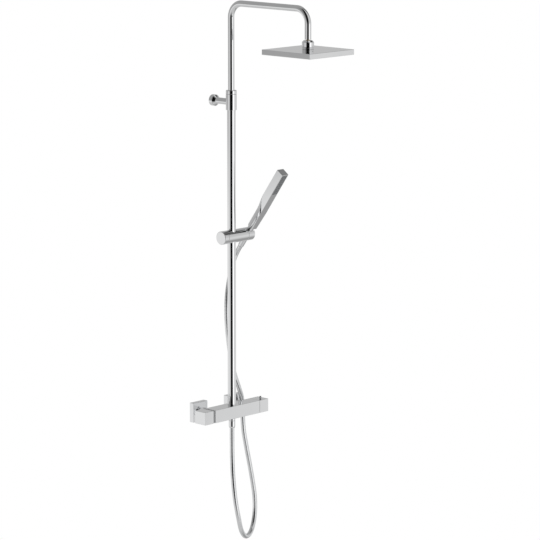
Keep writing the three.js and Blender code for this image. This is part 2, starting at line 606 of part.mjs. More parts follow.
place('head_casing', cut(
  join(
    cut(
      block([-HEAD_HALF, HEAD_HALF], [HEAD_Y - HEAD_HALF, HEAD_Y + HEAD_HALF],
        [HEAD_BOTTOM, HEAD_TOP]),
      block([-POCKET_HALF, POCKET_HALF], [HEAD_Y - POCKET_HALF, HEAD_Y + POCKET_HALF],
        [HEAD_BOTTOM - OVERCUT, HEAD_TOP - HEAD_WALL]),
    ),
    ...posts.map((post) => rod('z', post, POST_RADIUS, PLATE_TOP + GAP,
      HEAD_TOP - HEAD_WALL + OVERCUT, PIN_SIDES)),
  ),
  rod('z', HEAD_AXIS, HEAD_INLET_RADIUS, HEAD_BOTTOM, HEAD_TOP + OVERCUT),
  ...posts.map((post) => rod('z', post, SCREW_RADIUS + GAP, HEAD_BOTTOM,
    HEAD_TOP - HEAD_WALL, PIN_SIDES)),
), chrome);

function nozzle(x, y) {
  return turned('z', [x, y], [
    [0, PLATE_BOTTOM - NOZZLE_HEIGHT],
    [NOZZLE_TIP, PLATE_BOTTOM - NOZZLE_HEIGHT],
    [NOZZLE_RADIUS, PLATE_BOTTOM + OVERCUT],
    [0, PLATE_BOTTOM + OVERCUT],
  ], NOZZLE_SIDES);
}
function headNozzles() {
  const pitch = (2 * PLATE_HALF) / (NOZZLES_PER_ROW + 2 * NOZZLE_BORDER);
  const middle = (NOZZLES_PER_ROW - 1) / 2;
  const nozzles = [];
  for (let row = 0; row < NOZZLES_PER_ROW; row += 1) {
    for (let column = 0; column < NOZZLES_PER_ROW; column += 1) {
      nozzles.push(nozzle((column - middle) * pitch, HEAD_Y + (row - middle) * pitch));
    }
  }
  return nozzles;
}
const nozzlePlate = join(
  block([-PLATE_HALF, PLATE_HALF], [HEAD_Y - PLATE_HALF, HEAD_Y + PLATE_HALF],
    [PLATE_BOTTOM, PLATE_TOP]),
  ...headNozzles(),
);
place('head_nozzle_plate', cut(
  nozzlePlate,
  ...posts.map((post) => rod('z', post, SCREW_HEAD + GAP, HEAD_BOTTOM - NOZZLE_HEIGHT - OVERCUT,
    PLATE_BOTTOM + SCREW_HEAD_DEPTH + GAP, PIN_SIDES)),
  ...posts.map((post) => rod('z', post, SCREW_RADIUS + GAP, HEAD_BOTTOM, PLATE_TOP + OVERCUT,
    PIN_SIDES)),
), rubber);
posts.forEach((post, i) => place(`head_plate_screw_${i + 1}`, turned('z', post, [
  [0, PLATE_BOTTOM],
  [SCREW_HEAD, PLATE_BOTTOM],
  [SCREW_HEAD, PLATE_BOTTOM + SCREW_HEAD_DEPTH],
  [SCREW_RADIUS, PLATE_BOTTOM + SCREW_HEAD_DEPTH],
  [SCREW_RADIUS, HEAD_TOP - HEAD_WALL - SCREW_ROOM],
  [0, HEAD_TOP - HEAD_WALL - SCREW_ROOM],
], PIN_SIDES), steel));

// Slider: a split liner bush on the riser in a level cylinder, with a brake shoe on the bush, its
// clamp screw and knob on the left, and a pivot bolt for the holder on the right.
const SLIDER_AXIS = [BAR_Y, SLIDER_HEIGHT];
const BUSH_BORE = RISER_RADIUS + GAP;
const BUSH_WALL = 1.2;
const BUSH_RADIUS = BUSH_BORE + BUSH_WALL;
const BUSH_HALF = 14;
const SHOE_RADIUS = 4;
const SHOE_LENGTH = 5;
const SHOE_INNER = -BUSH_RADIUS - GAP;
const BUSH_SPLIT = 1.5;
const CLAMP_KNOB_INNER = CLAMP_KNOB_END + CLAMP_KNOB_LENGTH;
const PIVOT_BOLT_LENGTH = 16;
place('slider_bush', cut(
  pipe('z', RISER_AXIS, BUSH_RADIUS, BUSH_BORE,
    SLIDER_HEIGHT - BUSH_HALF, SLIDER_HEIGHT + BUSH_HALF, FINE_SIDES),
  block([-BUSH_SPLIT / 2, BUSH_SPLIT / 2], [BAR_Y, BAR_Y + BUSH_RADIUS + OVERCUT],
    [SLIDER_HEIGHT - BUSH_HALF - OVERCUT, SLIDER_HEIGHT + BUSH_HALF + OVERCUT]),
), whitePlastic);
place('slider_body', cut(
  rod('x', SLIDER_AXIS, SLIDER_RADIUS, CLAMP_KNOB_INNER + GAP, HOLDER_START - GAP, FINE_SIDES),
  rod('z', RISER_AXIS, BUSH_RADIUS + GAP, SLIDER_HEIGHT - SLIDER_RADIUS - OVERCUT,
    SLIDER_HEIGHT + SLIDER_RADIUS + OVERCUT, FINE_SIDES),
  rod('x', SLIDER_AXIS, SHOE_RADIUS + GAP, CLAMP_KNOB_INNER - OVERCUT, 0),
  rod('x', SLIDER_AXIS, SHOE_RADIUS + GAP, HOLDER_START - PIVOT_BOLT_LENGTH - GAP, HOLDER_START),
), chrome);
place('brake_shoe', rod('x', SLIDER_AXIS, SHOE_RADIUS, SHOE_INNER - SHOE_LENGTH, SHOE_INNER,
  PIN_SIDES), rubber);
place('clamp_screw', rod('x', SLIDER_AXIS, SHOE_RADIUS, CLAMP_KNOB_END + CLAMP_KNOB_CAP,
  SHOE_INNER - SHOE_LENGTH - GAP, PIN_SIDES), steel);
place('clamp_knob', cut(
  rod('x', SLIDER_AXIS, SLIDER_RADIUS, CLAMP_KNOB_END, CLAMP_KNOB_INNER, FINE_SIDES),
  rod('x', SLIDER_AXIS, SHOE_RADIUS + GAP, CLAMP_KNOB_END + CLAMP_KNOB_CAP - GAP,
    CLAMP_KNOB_INNER + OVERCUT),
), chrome);

// Holder, in the leaned frame: the end of the slider, with a tapered socket for the cone nut and
// a slot in its right end that lets the hose in.
const coneRadius = (station) => THREE.MathUtils.mapLinear(
  station, CONE_NUT_BOTTOM, CONE_NUT_TOP, CONE_NUT_FOOT_RADIUS, CONE_NUT_RADIUS);
const HOLDER_HALF = HOLDER_LENGTH / 2;
const SOCKET_REACH = SLIDER_RADIUS + OVERCUT;
place('holder_swivel', cut(
  rod('x', [0, 0], SLIDER_RADIUS, -HOLDER_HALF, HOLDER_HALF, FINE_SIDES),
  turned('z', [0, 0], [
    [0, -SOCKET_REACH],
    [coneRadius(-SOCKET_REACH) + GAP, -SOCKET_REACH],
    [coneRadius(SOCKET_REACH) + GAP, SOCKET_REACH],
    [0, SOCKET_REACH],
  ]),
  block([0, HOLDER_HALF + OVERCUT], [-HOSE_RADIUS - GAP, HOSE_RADIUS + GAP],
    [-SOCKET_REACH, SOCKET_REACH]),
  rod('x', [0, 0], SHOE_RADIUS + GAP, -HOLDER_HALF - OVERCUT, 0),
), chrome, leaned);
place('holder_pivot_bolt', rod('x', [0, 0], SHOE_RADIUS,
  -HOLDER_HALF - PIVOT_BOLT_LENGTH, -CONE_NUT_RADIUS - 2 * GAP, PIN_SIDES), steel, leaned);

// Hand shower, in the leaned frame: square at the top, its back drawn in to a round grip below.
const HANDSET_HALF = HANDSET_SIDE / 2;
const BACK_DEPTH = 20;               // how far the full rounding reaches forward from the back
const EDGE = 0.8;
const BACK_FLAT = 0.4;               // left between the two full roundings
const FOOT_ROUNDING = 6;
const BACK_STEPS = 6;
const FRONT_STEPS = 2;
function quarter(centreX, centreY, radiusX, radiusY, from, steps, station) {
  return Array.from({ length: steps + 1 }, (_, i) => {
    const angle = from + (i / steps) * (Math.PI / 2);
    return new THREE.Vector3(centreX + radiusX * Math.cos(angle),
      centreY + radiusY * Math.sin(angle), station);
  });
}
function handsetSection(station) {
  const drawn = THREE.MathUtils.smoothstep(-station, -ROUNDING_TOP, -ROUNDING_FULL);
  const footed = THREE.MathUtils.clamp(
    (ROUNDING_FULL - station) / (ROUNDING_FULL - HANDSET_FOOT), 0, 1);
  const width = THREE.MathUtils.lerp(EDGE, HANDSET_HALF - BACK_FLAT / 2, drawn);
  const depth = THREE.MathUtils.lerp(EDGE, BACK_DEPTH, drawn);
  const front = THREE.MathUtils.lerp(EDGE, FOOT_ROUNDING, footed);
  const right = HANDSET_HALF - width;
  const back = HANDSET_HALF - depth;
  const inner = HANDSET_HALF - front;
  return [
    ...quarter(right, back, width, depth, 0, BACK_STEPS, station),
    ...quarter(-right, back, width, depth, Math.PI / 2, BACK_STEPS, station),
    ...quarter(-inner, -inner, front, front, Math.PI, FRONT_STEPS, station),
    ...quarter(inner, -inner, front, front, 1.5 * Math.PI, FRONT_STEPS, station),
  ];
}
const GRIP_SECTIONS = 10;
const WATERWAY = 6;
const SPRAY_EDGE = 3;                // width of the chrome beside the spray face
const SPRAY_TOP = HANDSET_TOP - SPRAY_FACE_MARGIN;
const SPRAY_BOTTOM = SPRAY_TOP - SPRAY_FACE_LENGTH;
const SPRAY_HALF = HANDSET_HALF - SPRAY_EDGE;
const SPRAY_DEPTH = 3;
const SPRAY_LEDGE = 2;               // seat round the spray face
const SPRAY_CHAMBER = 4;             // depth of the chamber past the handset's middle
const NECK_OVERLAP = 4;
const NECK_TOP = HANDSET_FOOT + NECK_OVERLAP;
const handsetStations = [
  ...Array.from({ length: GRIP_SECTIONS + 1 }, (_, i) => (
    THREE.MathUtils.lerp(HANDSET_FOOT, ROUNDING_TOP, i / GRIP_SECTIONS))),
  HANDSET_TOP,
];
place('handset_body', cut(
  join(
    loft(handsetStations.map(handsetSection)),
    rod('z', [0, 0], CONE_NUT_RADIUS, CONE_NUT_TOP + GAP, NECK_TOP),
  ),
  rod('z', [0, 0], WATERWAY, CONE_NUT_TOP - OVERCUT, SPRAY_BOTTOM + 2 * SPRAY_LEDGE),
  block([-SPRAY_HALF, SPRAY_HALF], [-HANDSET_HALF - OVERCUT, -HANDSET_HALF + SPRAY_DEPTH],
    [SPRAY_BOTTOM, SPRAY_TOP]),
  block([-SPRAY_HALF + SPRAY_LEDGE, SPRAY_HALF - SPRAY_LEDGE], [-HANDSET_HALF, SPRAY_CHAMBER],
    [SPRAY_BOTTOM + SPRAY_LEDGE, SPRAY_TOP - SPRAY_LEDGE]),
), chrome, leaned);

const SPRAY_COLUMNS = 3;
const SPRAY_ROWS = 10;
const SPRAY_NOZZLE = 1.5;
const SPRAY_NOZZLE_TIP = 0.9;
const SPRAY_NOZZLE_HEIGHT = 0.7;
function sprayNozzles() {
  const pitchX = (2 * SPRAY_HALF) / SPRAY_COLUMNS;
  const pitchZ = SPRAY_FACE_LENGTH / SPRAY_ROWS;
  const face = -HANDSET_HALF;
  const nozzles = [];
  for (let row = 0; row < SPRAY_ROWS; row += 1) {
    for (let column = 0; column < SPRAY_COLUMNS; column += 1) {
      const x = -SPRAY_HALF + (column + 0.5) * pitchX;
      const z = SPRAY_BOTTOM + (row + 0.5) * pitchZ;
      nozzles.push(turned('y', [x, z], [
        [0, face - SPRAY_NOZZLE_HEIGHT],
        [SPRAY_NOZZLE_TIP, face - SPRAY_NOZZLE_HEIGHT],
        [SPRAY_NOZZLE, face + OVERCUT],
        [0, face + OVERCUT],
      ], NOZZLE_SIDES));
    }
  }
  return nozzles;
}
place('handset_nozzle_plate', join(
  block([-SPRAY_HALF + GAP, SPRAY_HALF - GAP],
    [-HANDSET_HALF, -HANDSET_HALF + SPRAY_DEPTH - GAP], [SPRAY_BOTTOM + GAP, SPRAY_TOP - GAP]),
  ...sprayNozzles(),
), rubber, leaned);

// Cone nut of the hose under the handset, with the handset's tail nipple and washer inside it.
const NUT_SOCKET = 7.4;
const TAIL_BORE = 4;
const TAIL_LENGTH = 12;
const TAIL_FOOT = CONE_NUT_TOP - TAIL_LENGTH;
place('cone_nut', ring('z', [0, 0], [
  [TAIL_BORE, CONE_NUT_BOTTOM],
  [CONE_NUT_FACE_RADIUS, CONE_NUT_BOTTOM],
  [coneRadius(CONE_NUT_BOTTOM + CONE_NUT_CHAMFER), CONE_NUT_BOTTOM + CONE_NUT_CHAMFER],
  [CONE_NUT_RADIUS, CONE_NUT_TOP],
  [NUT_SOCKET, CONE_NUT_TOP],
  [NUT_SOCKET, TAIL_FOOT - WASHER_THICKNESS - 2 * GAP],
  [TAIL_BORE, TAIL_FOOT - WASHER_THICKNESS - 2 * GAP],
]), chrome, leaned);
place('handset_tail_nipple', pipe('z', [0, 0], NUT_SOCKET - GAP, TAIL_BORE,
  TAIL_FOOT, CONE_NUT_TOP), brass, leaned);
place('handset_tail_washer', pipe('z', [0, 0], NUT_SOCKET - GAP, TAIL_BORE,
  TAIL_FOOT - GAP - WASHER_THICKNESS, TAIL_FOOT - GAP), rubber, leaned);

// Hose: down from the bar, round its hanging loop, up behind the bar and the riser, and into the
// cone nut in line with the handset.
const HOSE_ROUTE = [
  [0, -80, -100],
  [-1, -82, -160],
  [-4, -89, -222],
  [-2, -96, -285],
  [9, -98.5, -341],
  [31, -89.5, -388],
  [60, -76.5, -414],
  [86, -65, -420],
  [114, -52, -412],
  [134.5, -42.5, -389.5],
  [144.5, -38.5, -354],
  [144, -38, -308],
  [137, -37, -262],
  [125, -36, -205],
  [112, -33.5, -143],
  [102.5, -31, -90],
  [99.5, -29.5, -45],
  [99.5, -29.5, -8],
  [93.5, -29.5, 24],
  [79, -31, 58],
  [59, -33, 101],
  [42, -35, 155],
  [28, -37, 222],
  [21, -37, 290],
  [24, -36, 350],
  [37, -33, 402],
  [53, -29.5, 442],
  [64.5, -30, 469],
];
const HOSE_LEAD = 18;                // straight end of the hose under the cone nut
const HOSE_TILT_GAP = 0.5;           // from the foot of the cone nut, which swings over it
const HOSE_STEPS = 44;
const HOSE_SIDES = 8;
function hosePath() {
  const start = new THREE.Vector3(0, BAR_Y, HOSE_NUT_BOTTOM - GAP);
  leaned.updateMatrixWorld(true);
  const end = leaned.localToWorld(new THREE.Vector3(0, 0, CONE_NUT_BOTTOM - HOSE_TILT_GAP));
  const lead = leaned.localToWorld(new THREE.Vector3(0, 0, CONE_NUT_BOTTOM - HOSE_LEAD));
  const route = HOSE_ROUTE.map((point) => new THREE.Vector3(...point));
  return new THREE.CatmullRomCurve3([start, ...route, lead, end]);
}
place('hose', sweep(circle(HOSE_RADIUS, HOSE_SIDES), hosePath(), HOSE_STEPS), hoseMetal);

export default group;
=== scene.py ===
import json
import math

import bmesh
import bpy
from mathutils import Matrix, Vector

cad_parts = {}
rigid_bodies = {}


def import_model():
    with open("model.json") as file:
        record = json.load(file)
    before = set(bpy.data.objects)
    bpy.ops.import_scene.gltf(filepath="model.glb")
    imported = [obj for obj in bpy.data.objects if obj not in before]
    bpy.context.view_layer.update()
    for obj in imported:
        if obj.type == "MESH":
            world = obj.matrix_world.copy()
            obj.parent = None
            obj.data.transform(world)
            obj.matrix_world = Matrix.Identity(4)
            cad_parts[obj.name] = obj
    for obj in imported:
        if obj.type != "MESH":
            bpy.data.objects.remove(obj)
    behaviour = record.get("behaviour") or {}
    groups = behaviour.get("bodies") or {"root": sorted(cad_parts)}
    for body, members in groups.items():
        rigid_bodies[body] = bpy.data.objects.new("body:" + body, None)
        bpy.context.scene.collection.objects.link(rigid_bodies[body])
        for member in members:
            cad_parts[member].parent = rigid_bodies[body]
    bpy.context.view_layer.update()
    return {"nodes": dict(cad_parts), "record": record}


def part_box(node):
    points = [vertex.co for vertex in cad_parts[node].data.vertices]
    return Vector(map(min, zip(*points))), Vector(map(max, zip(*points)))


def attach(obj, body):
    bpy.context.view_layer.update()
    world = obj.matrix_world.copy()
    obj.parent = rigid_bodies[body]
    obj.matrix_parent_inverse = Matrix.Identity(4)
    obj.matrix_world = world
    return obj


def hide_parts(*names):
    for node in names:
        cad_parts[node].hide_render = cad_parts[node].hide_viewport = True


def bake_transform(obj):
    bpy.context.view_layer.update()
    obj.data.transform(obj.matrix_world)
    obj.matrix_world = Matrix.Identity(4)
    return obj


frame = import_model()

MM = 0.001
record = frame["record"]
body_of = {node: body for body, nodes in record["behaviour"]["bodies"].items() for node in nodes}
slot_of = {part["node"]: part["material_slot"] for part in record["subparts"]}


def box_mm(node):
    low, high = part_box(node)
    return low / MM, high / MM


# ---- places read from the frame ----
BAR_LOW, BAR_HIGH = box_mm("valve_body")
BAR_Y = (BAR_LOW.y + BAR_HIGH.y) / 2
RISER_AXIS = (0.0, BAR_Y)
SLIDER_LOW, SLIDER_HIGH = box_mm("slider_body")
SLIDER_HEIGHT = (SLIDER_LOW.z + SLIDER_HIGH.z) / 2
HOLDER_LOW, HOLDER_HIGH = box_mm("holder_swivel")
HOLDER_X = (HOLDER_LOW.x + HOLDER_HIGH.x) / 2
HEAD_LOW, HEAD_HIGH = box_mm("head_casing")
HEAD_Y = (HEAD_LOW.y + HEAD_HIGH.y) / 2
HEAD_AXIS = (0.0, HEAD_Y)
GAP = 0.3                    # clearance between pieces that touch
SIDES = 96                   # facets round a turned piece
HANDSET_LEAN = math.radians(36)
LEANED = Matrix.Translation((HOLDER_X, BAR_Y, SLIDER_HEIGHT)) @ Matrix.Rotation(
    HANDSET_LEAN, 4, "X")


# ---- camera ----
CAMERA_PLACE = (-6.391, -6.355, 2.064)
CAMERA_AZIMUTH = math.radians(-46.28)    # 0 looks along +Y, and a minus sign turns it towards +X
CAMERA_DROP = math.radians(10.25)
CAMERA_LENS = 196.97


def look_direction():
    level = Vector((-math.sin(CAMERA_AZIMUTH), math.cos(CAMERA_AZIMUTH), 0))
    return level * math.cos(CAMERA_DROP) - Vector((0, 0, math.sin(CAMERA_DROP)))


def add_camera():
    camera = bpy.data.objects.new("camera", bpy.data.cameras.new("camera"))
    bpy.context.scene.collection.objects.link(camera)
    camera.data.sensor_width = 36
    camera.data.lens = CAMERA_LENS
    camera.data.clip_end = 100
    camera.location = CAMERA_PLACE
    camera.rotation_euler = look_direction().to_track_quat("-Z", "Y").to_euler()
    bpy.context.scene.camera = camera


add_camera()


# ---- materials ----
def sockets(node, **values):
    for name, value in values.items():
        node.inputs[name.replace("_", " ")].default_value = value


class Look:
    """A procedural material: a Principled shader with a small kit of texture nodes."""

    def __init__(self, name, color, metallic=0.0, roughness=0.4):
        self.material = bpy.data.materials.new(name)
        self.material.use_nodes = True
        self.tree = self.material.node_tree
        self.shader = self.tree.nodes["Principled BSDF"]
        self.coordinates = self.tree.nodes.new("ShaderNodeTexCoord").outputs["Object"]
        sockets(self.shader, Base_Color=(*color, 1), Metallic=metallic, Roughness=roughness)

    def link(self, output, target):
        self.tree.links.new(output, target)

    def noise(self, scale, detail=3.0, stretch=(1, 1, 1)):
        mapping = self.tree.nodes.new("ShaderNodeMapping")
        mapping.inputs["Scale"].default_value = stretch
        self.link(self.coordinates, mapping.inputs["Vector"])
        noise = self.tree.nodes.new("ShaderNodeTexNoise")
        sockets(noise, Scale=scale, Detail=detail)
        self.link(mapping.outputs["Vector"], noise.inputs["Vector"])
        return noise.outputs["Fac"]

    def span(self, value, low, high, out_low, out_high):
        spread = self.tree.nodes.new("ShaderNodeMapRange")
        sockets(spread, From_Min=low, From_Max=high, To_Min=out_low, To_Max=out_high)
        self.link(value, spread.inputs["Value"])
        return spread.outputs["Result"]

    def colour(self, value, stops):
        ramp = self.tree.nodes.new("ShaderNodeValToRGB")
        fill_ramp(ramp.color_ramp, stops)
        self.link(value, ramp.inputs["Fac"])
        self.link(ramp.outputs["Color"], self.shader.inputs["Base Color"])

    def roughen(self, value):
        self.link(value, self.shader.inputs["Roughness"])

    def bump(self, value, distance, strength=1.0):
        bump = self.tree.nodes.new("ShaderNodeBump")
        sockets(bump, Strength=strength, Distance=distance)
        self.link(value, bump.inputs["Height"])
        self.link(bump.outputs["Normal"], self.shader.inputs["Normal"])


def fill_ramp(ramp, stops):
    while len(ramp.elements) < len(stops):
        ramp.elements.new(1.0)
    for element, (place, color) in zip(ramp.elements, stops):
        element.position = place
        element.color = (*color, 1)


def chrome():
    """Polished plate: nearly a mirror, with a trace of haze and soft waves."""
    look = Look("chrome_plate", (0.86, 0.865, 0.87), metallic=1.0)
    haze = look.noise(14, 4)
    look.colour(haze, [(0.3, (0.85, 0.857, 0.865)), (0.7, (0.88, 0.884, 0.888))])
    look.roughen(look.span(haze, 0.35, 0.75, 0.022, 0.05))
    look.bump(look.noise(30, 2), 0.000008)
    return look.material


def hose_chrome():
    """Bright plated steel strip, rubbed a little duller in patches along its length."""
    look = Look("hose_chrome", (0.83, 0.84, 0.85), metallic=1.0)
    wear = look.noise(45, 4)
    look.colour(wear, [(0.3, (0.78, 0.79, 0.80)), (0.7, (0.88, 0.885, 0.89))])
    look.roughen(look.span(wear, 0.3, 0.7, 0.05, 0.10))
    look.bump(look.noise(1500, 2), 0.00001)
    return look.material


def brass():
    """Machined brass, with turning marks and slight tarnish."""
    look = Look("machined_brass", (0.69, 0.55, 0.30), metallic=1.0)
    tarnish = look.noise(90, 5)
    look.colour(tarnish, [(0.3, (0.52, 0.37, 0.17)), (0.6, (0.70, 0.55, 0.30)),
                          (0.8, (0.78, 0.64, 0.38))])
    look.roughen(look.span(tarnish, 0.3, 0.7, 0.24, 0.42))
    look.bump(look.noise(2200, 1, (1, 1, 0.08)), 0.00002)
    return look.material


def moulded(name, dark, light, roughness):
    """Injection-moulded plastic with a fine spark-eroded grain."""
    look = Look(name, light, roughness=roughness)
    grain = look.noise(1800, 3)
    look.colour(look.noise(60, 3), [(0.3, dark), (0.7, light)])
    look.roughen(look.span(grain, 0.3, 0.7, roughness - 0.08, roughness + 0.08))
    look.bump(grain, 0.00003)
    return look.material


def silicone():
    """Matt grey silicone rubber with a faint bloom on it."""
    look = Look("grey_silicone", (0.24, 0.25, 0.26), roughness=0.6)
    bloom = look.noise(240, 4)
    look.colour(bloom, [(0.3, (0.24, 0.25, 0.255)), (0.7, (0.36, 0.37, 0.38))])
    look.roughen(look.span(bloom, 0.3, 0.7, 0.48, 0.66))
    look.bump(look.noise(2600, 2), 0.00003)
    return look.material


def steel():
    """Stainless steel, brushed along its length."""
    look = Look("brushed_steel", (0.68, 0.70, 0.71), metallic=1.0)
    lines = look.noise(1600, 3, (1, 1, 0.04))
    look.colour(lines, [(0.3, (0.60, 0.62, 0.63)), (0.7, (0.74, 0.755, 0.765))])
    look.roughen(look.span(lines, 0.3, 0.7, 0.22, 0.38))
    look.bump(lines, 0.00002)
    return look.material


LOOKS = {
    "chrome": chrome(),
    "brass": brass(),
    "grey_plastic": moulded("grey_plastic", (0.46, 0.465, 0.475), (0.54, 0.545, 0.555), 0.42),
    "white_plastic": moulded("white_plastic", (0.80, 0.80, 0.78), (0.86, 0.86, 0.84), 0.40),
    "rubber": silicone(),
    "steel": steel(),
    "hose_metal": hose_chrome(),
}


# ---- mesh helpers ----
def made(name, bm):
    """A new object from a bmesh in millimetres."""
    bmesh.ops.recalc_face_normals(bm, faces=bm.faces)
    mesh = bpy.data.meshes.new(name)
    bm.to_mesh(mesh)
    bm.free()
    mesh.transform(Matrix.Scale(MM, 4))
    piece = bpy.data.objects.new(name, mesh)
    bpy.context.scene.collection.objects.link(piece)
    return piece


EASE_STEPS = 3


def eased(outline, radius, closed):
    """The outline with its corners rounded off; an open one keeps its two ends."""
    points = [Vector(point) for point in outline]
    rounded = []
    for i, corner in enumerate(points):
        if not radius or not closed and i in (0, len(points) - 1):
            rounded.append(corner)
            continue
        before = points[i - 1] - corner
        after = points[(i + 1) % len(points)] - corner
        reach = min(radius, 0.45 * before.length, 0.45 * after.length)
        start = corner + before.normalized() * reach
        end = corner + after.normalized() * reach
        for step in range(EASE_STEPS + 1):
            t = step / EASE_STEPS
            rounded.append(start * (1 - t) ** 2 + corner * 2 * t * (1 - t) + end * t * t)
    return rounded


def on_axis(axis, centre, radius, angle, station):
    u = centre[0] + radius * math.cos(angle)
    v = centre[1] + radius * math.sin(angle)
    return {"x": (station, u, v), "y": (u, station, v), "z": (u, v, station)}[axis]


def bridge(bm, first, second, closed=True):
    """Faces between two rings of equally many corners, or between a ring and a single point."""
    count = max(len(first), len(second))
    for i in range(count if closed else count - 1):
        j = (i + 1) % count
        corners = [first[i % len(first)], first[j % len(first)],
                   second[j % len(second)], second[i % len(second)]]
        bm.faces.new(list(dict.fromkeys(corners)))


def turned(axis, centre, outline, ease=0.4, sides=SIDES):
    """A piece turned about an axis. The outline is (radius, station) from axis to axis, or a
    closed loop off the axis for a piece with a bore."""
    bored = outline[0][0] > 0
    profile = eased(outline, ease, bored)
    bm = bmesh.new()
    rings = []
    for radius, station in profile:
        turns = sides if radius > 0 else 1
        rings.append([bm.verts.new(on_axis(axis, centre, radius, 2 * math.pi * i / sides, station))
                      for i in range(turns)])
    for first, second in zip(rings, rings[1:]):
        bridge(bm, first, second)
    if bored:
        bridge(bm, rings[-1], rings[0])
    return made("turned", bm)


def rod(axis, centre, radius, start, end, ease=0.4, sides=SIDES):
    return turned(axis, centre, [(0, start), (radius, start), (radius, end), (0, end)], ease, sides)


def pipe(axis, centre, outer, inner, start, end, ease=0.4, sides=SIDES):
    outline = [(inner, start), (outer, start), (outer, end), (inner, end)]
    return turned(axis, centre, outline, ease, sides)


def block(low, high, ease=0.6):
    """A box with its edges rounded over."""
    low = Vector(low)
    high = Vector(high)
    bm = bmesh.new()
    bmesh.ops.create_cube(bm, size=1)
    size = high - low
    bmesh.ops.scale(bm, vec=size, verts=bm.verts)
    bmesh.ops.translate(bm, vec=(low + high) / 2, verts=bm.verts)
    if ease:
        bmesh.ops.bevel(bm, geom=bm.edges[:], offset=ease, segments=3, profile=0.5,
                        affect="EDGES")
    return made("block", bm)


def combined(operation, base, *others):
    for other in others:
        modifier = base.modifiers.new(operation, "BOOLEAN")
        modifier.operation = operation
        modifier.solver = "EXACT"
        modifier.object = other
    graph = bpy.context.evaluated_depsgraph_get()
    mesh = bpy.data.meshes.new_from_object(base.evaluated_get(graph))
    base.modifiers.clear()
    base.data = mesh
    for other in others:
        bpy.data.objects.remove(other)
    return base


def cut(base, *tools):
    return combined("DIFFERENCE", base, *tools)


def joined(base, *others):
    return combined("UNION", base, *others)


def merged(base, *others):
    """Pieces that stand clear of each other, or sink into one another, as one mesh."""
    bm = bmesh.new()
    for piece in (base, *others):
        bm.from_mesh(piece.data)
    for other in others:
        bpy.data.objects.remove(other)
    bm.to_mesh(base.data)
    bm.free()
    return base


def dress(piece, look, smooth_angle=32):
    piece.data.materials.clear()
    piece.data.materials.append(look)
    piece.data.shade_smooth()
    piece.data.set_sharp_from_angle(angle=math.radians(smooth_angle))
    piece.modifiers.new("weighted_normals", "WEIGHTED_NORMAL").keep_sharp = True


def stand_for(node, piece, look=None, matrix=None, slot=None):
    """Puts a fine piece in place of a CAD node, on the same body and in the same finish."""
    piece.name = f"fine_{node}"
    piece.data.name = piece.name
    if matrix is not None:
        shifted = Matrix.Scale(MM, 4) @ matrix @ Matrix.Scale(1 / MM, 4)
        piece.data.transform(shifted)
    slot = slot or slot_of[node]
    dress(piece, look or LOOKS[slot])
    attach(piece, body_of[node])
    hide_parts(node)
    return piece


# ---- hose ----
# The route of part.mjs: down from the bar, round the loop, up behind the bar, into the cone nut.
HOSE_ROUTE = [
    (0, -80, -100),
    (-1, -82, -160),
    (-4, -89, -222),
    (-2, -96, -285),
    (9, -98.5, -341),
    (31, -89.5, -388),
    (60, -76.5, -414),
    (86, -65, -420),
    (114, -52, -412),
    (134.5, -42.5, -389.5),
    (144.5, -38.5, -354),
    (144, -38, -308),
    (137, -37, -262),
    (125, -36, -205),
    (112, -33.5, -143),
    (102.5, -31, -90),
    (99.5, -29.5, -45),
    (99.5, -29.5, -8),
    (93.5, -29.5, 24),
    (79, -31, 58),
    (59, -33, 101),
    (42, -35, 155),
    (28, -37, 222),
    (21, -37, 290),
    (24, -36, 350),
    (37, -33, 402),
    (53, -29.5, 442),
    (64.5, -30, 469),
]
HOSE_START = -53.3           # just under the hose nut
HOSE_LEAD = -68.0            # the straight end of the hose, along the leaned handset
HOSE_END = -50.5
HOSE_RADIUS = 7.5
HOSE_PITCH = 4.4             # from one groove of the strip to the next
HOSE_GROOVE = 0.2
HOSE_SIDES = 20
RINGS_PER_PITCH = 6


def catmull_rom(points, steps):
    """A centripetal Catmull-Rom curve through the points."""
    ghost_before = 2 * points[0] - points[1]
    ghost_after = 2 * points[-1] - points[-2]
    row = [ghost_before, *points, ghost_after]
    curve = []
    for p0, p1, p2, p3 in zip(row, row[1:], row[2:], row[3:]):
        d0 = (p1 - p0).length ** 0.5
        d1 = (p2 - p1).length ** 0.5
        d2 = (p3 - p2).length ** 0.5
        t1 = ((p1 - p0) / d0 - (p2 - p0) / (d0 + d1) + (p2 - p1) / d1) * d1
        t2 = ((p2 - p1) / d1 - (p3 - p1) / (d1 + d2) + (p3 - p2) / d2) * d1
        square = -3 * p1 + 3 * p2 - 2 * t1 - t2
        cube = 2 * p1 - 2 * p2 + t1 + t2
        for step in range(steps):
            t = step / steps
            curve.append(p1 + t1 * t + square * t * t + cube * t ** 3)
    curve.append(points[-1])
    return curve


def respaced(curve, spacing):
    """Points along the curve at an even spacing, both ends included."""
    total = sum((b - a).length for a, b in zip(curve, curve[1:]))
    count = round(total / spacing)
    step = total / count
    points = [curve[0]]
    walked = 0.0
    for a, b in zip(curve, curve[1:]):
        length = (b - a).length
        while len(points) < count and walked + length >= len(points) * step:
            points.append(a.lerp(b, (len(points) * step - walked) / length))
        walked += length
    points.append(curve[-1])
    return points, total


def hose_path():
    start = Vector((0, BAR_Y, HOSE_START))
    lead = LEANED @ Vector((0, 0, HOSE_LEAD))
    end = LEANED @ Vector((0, 0, HOSE_END))
    points = [start, *(Vector(point) for point in HOSE_ROUTE), lead, end]
    return respaced(catmull_rom(points, 40), HOSE_PITCH / RINGS_PER_PITCH)


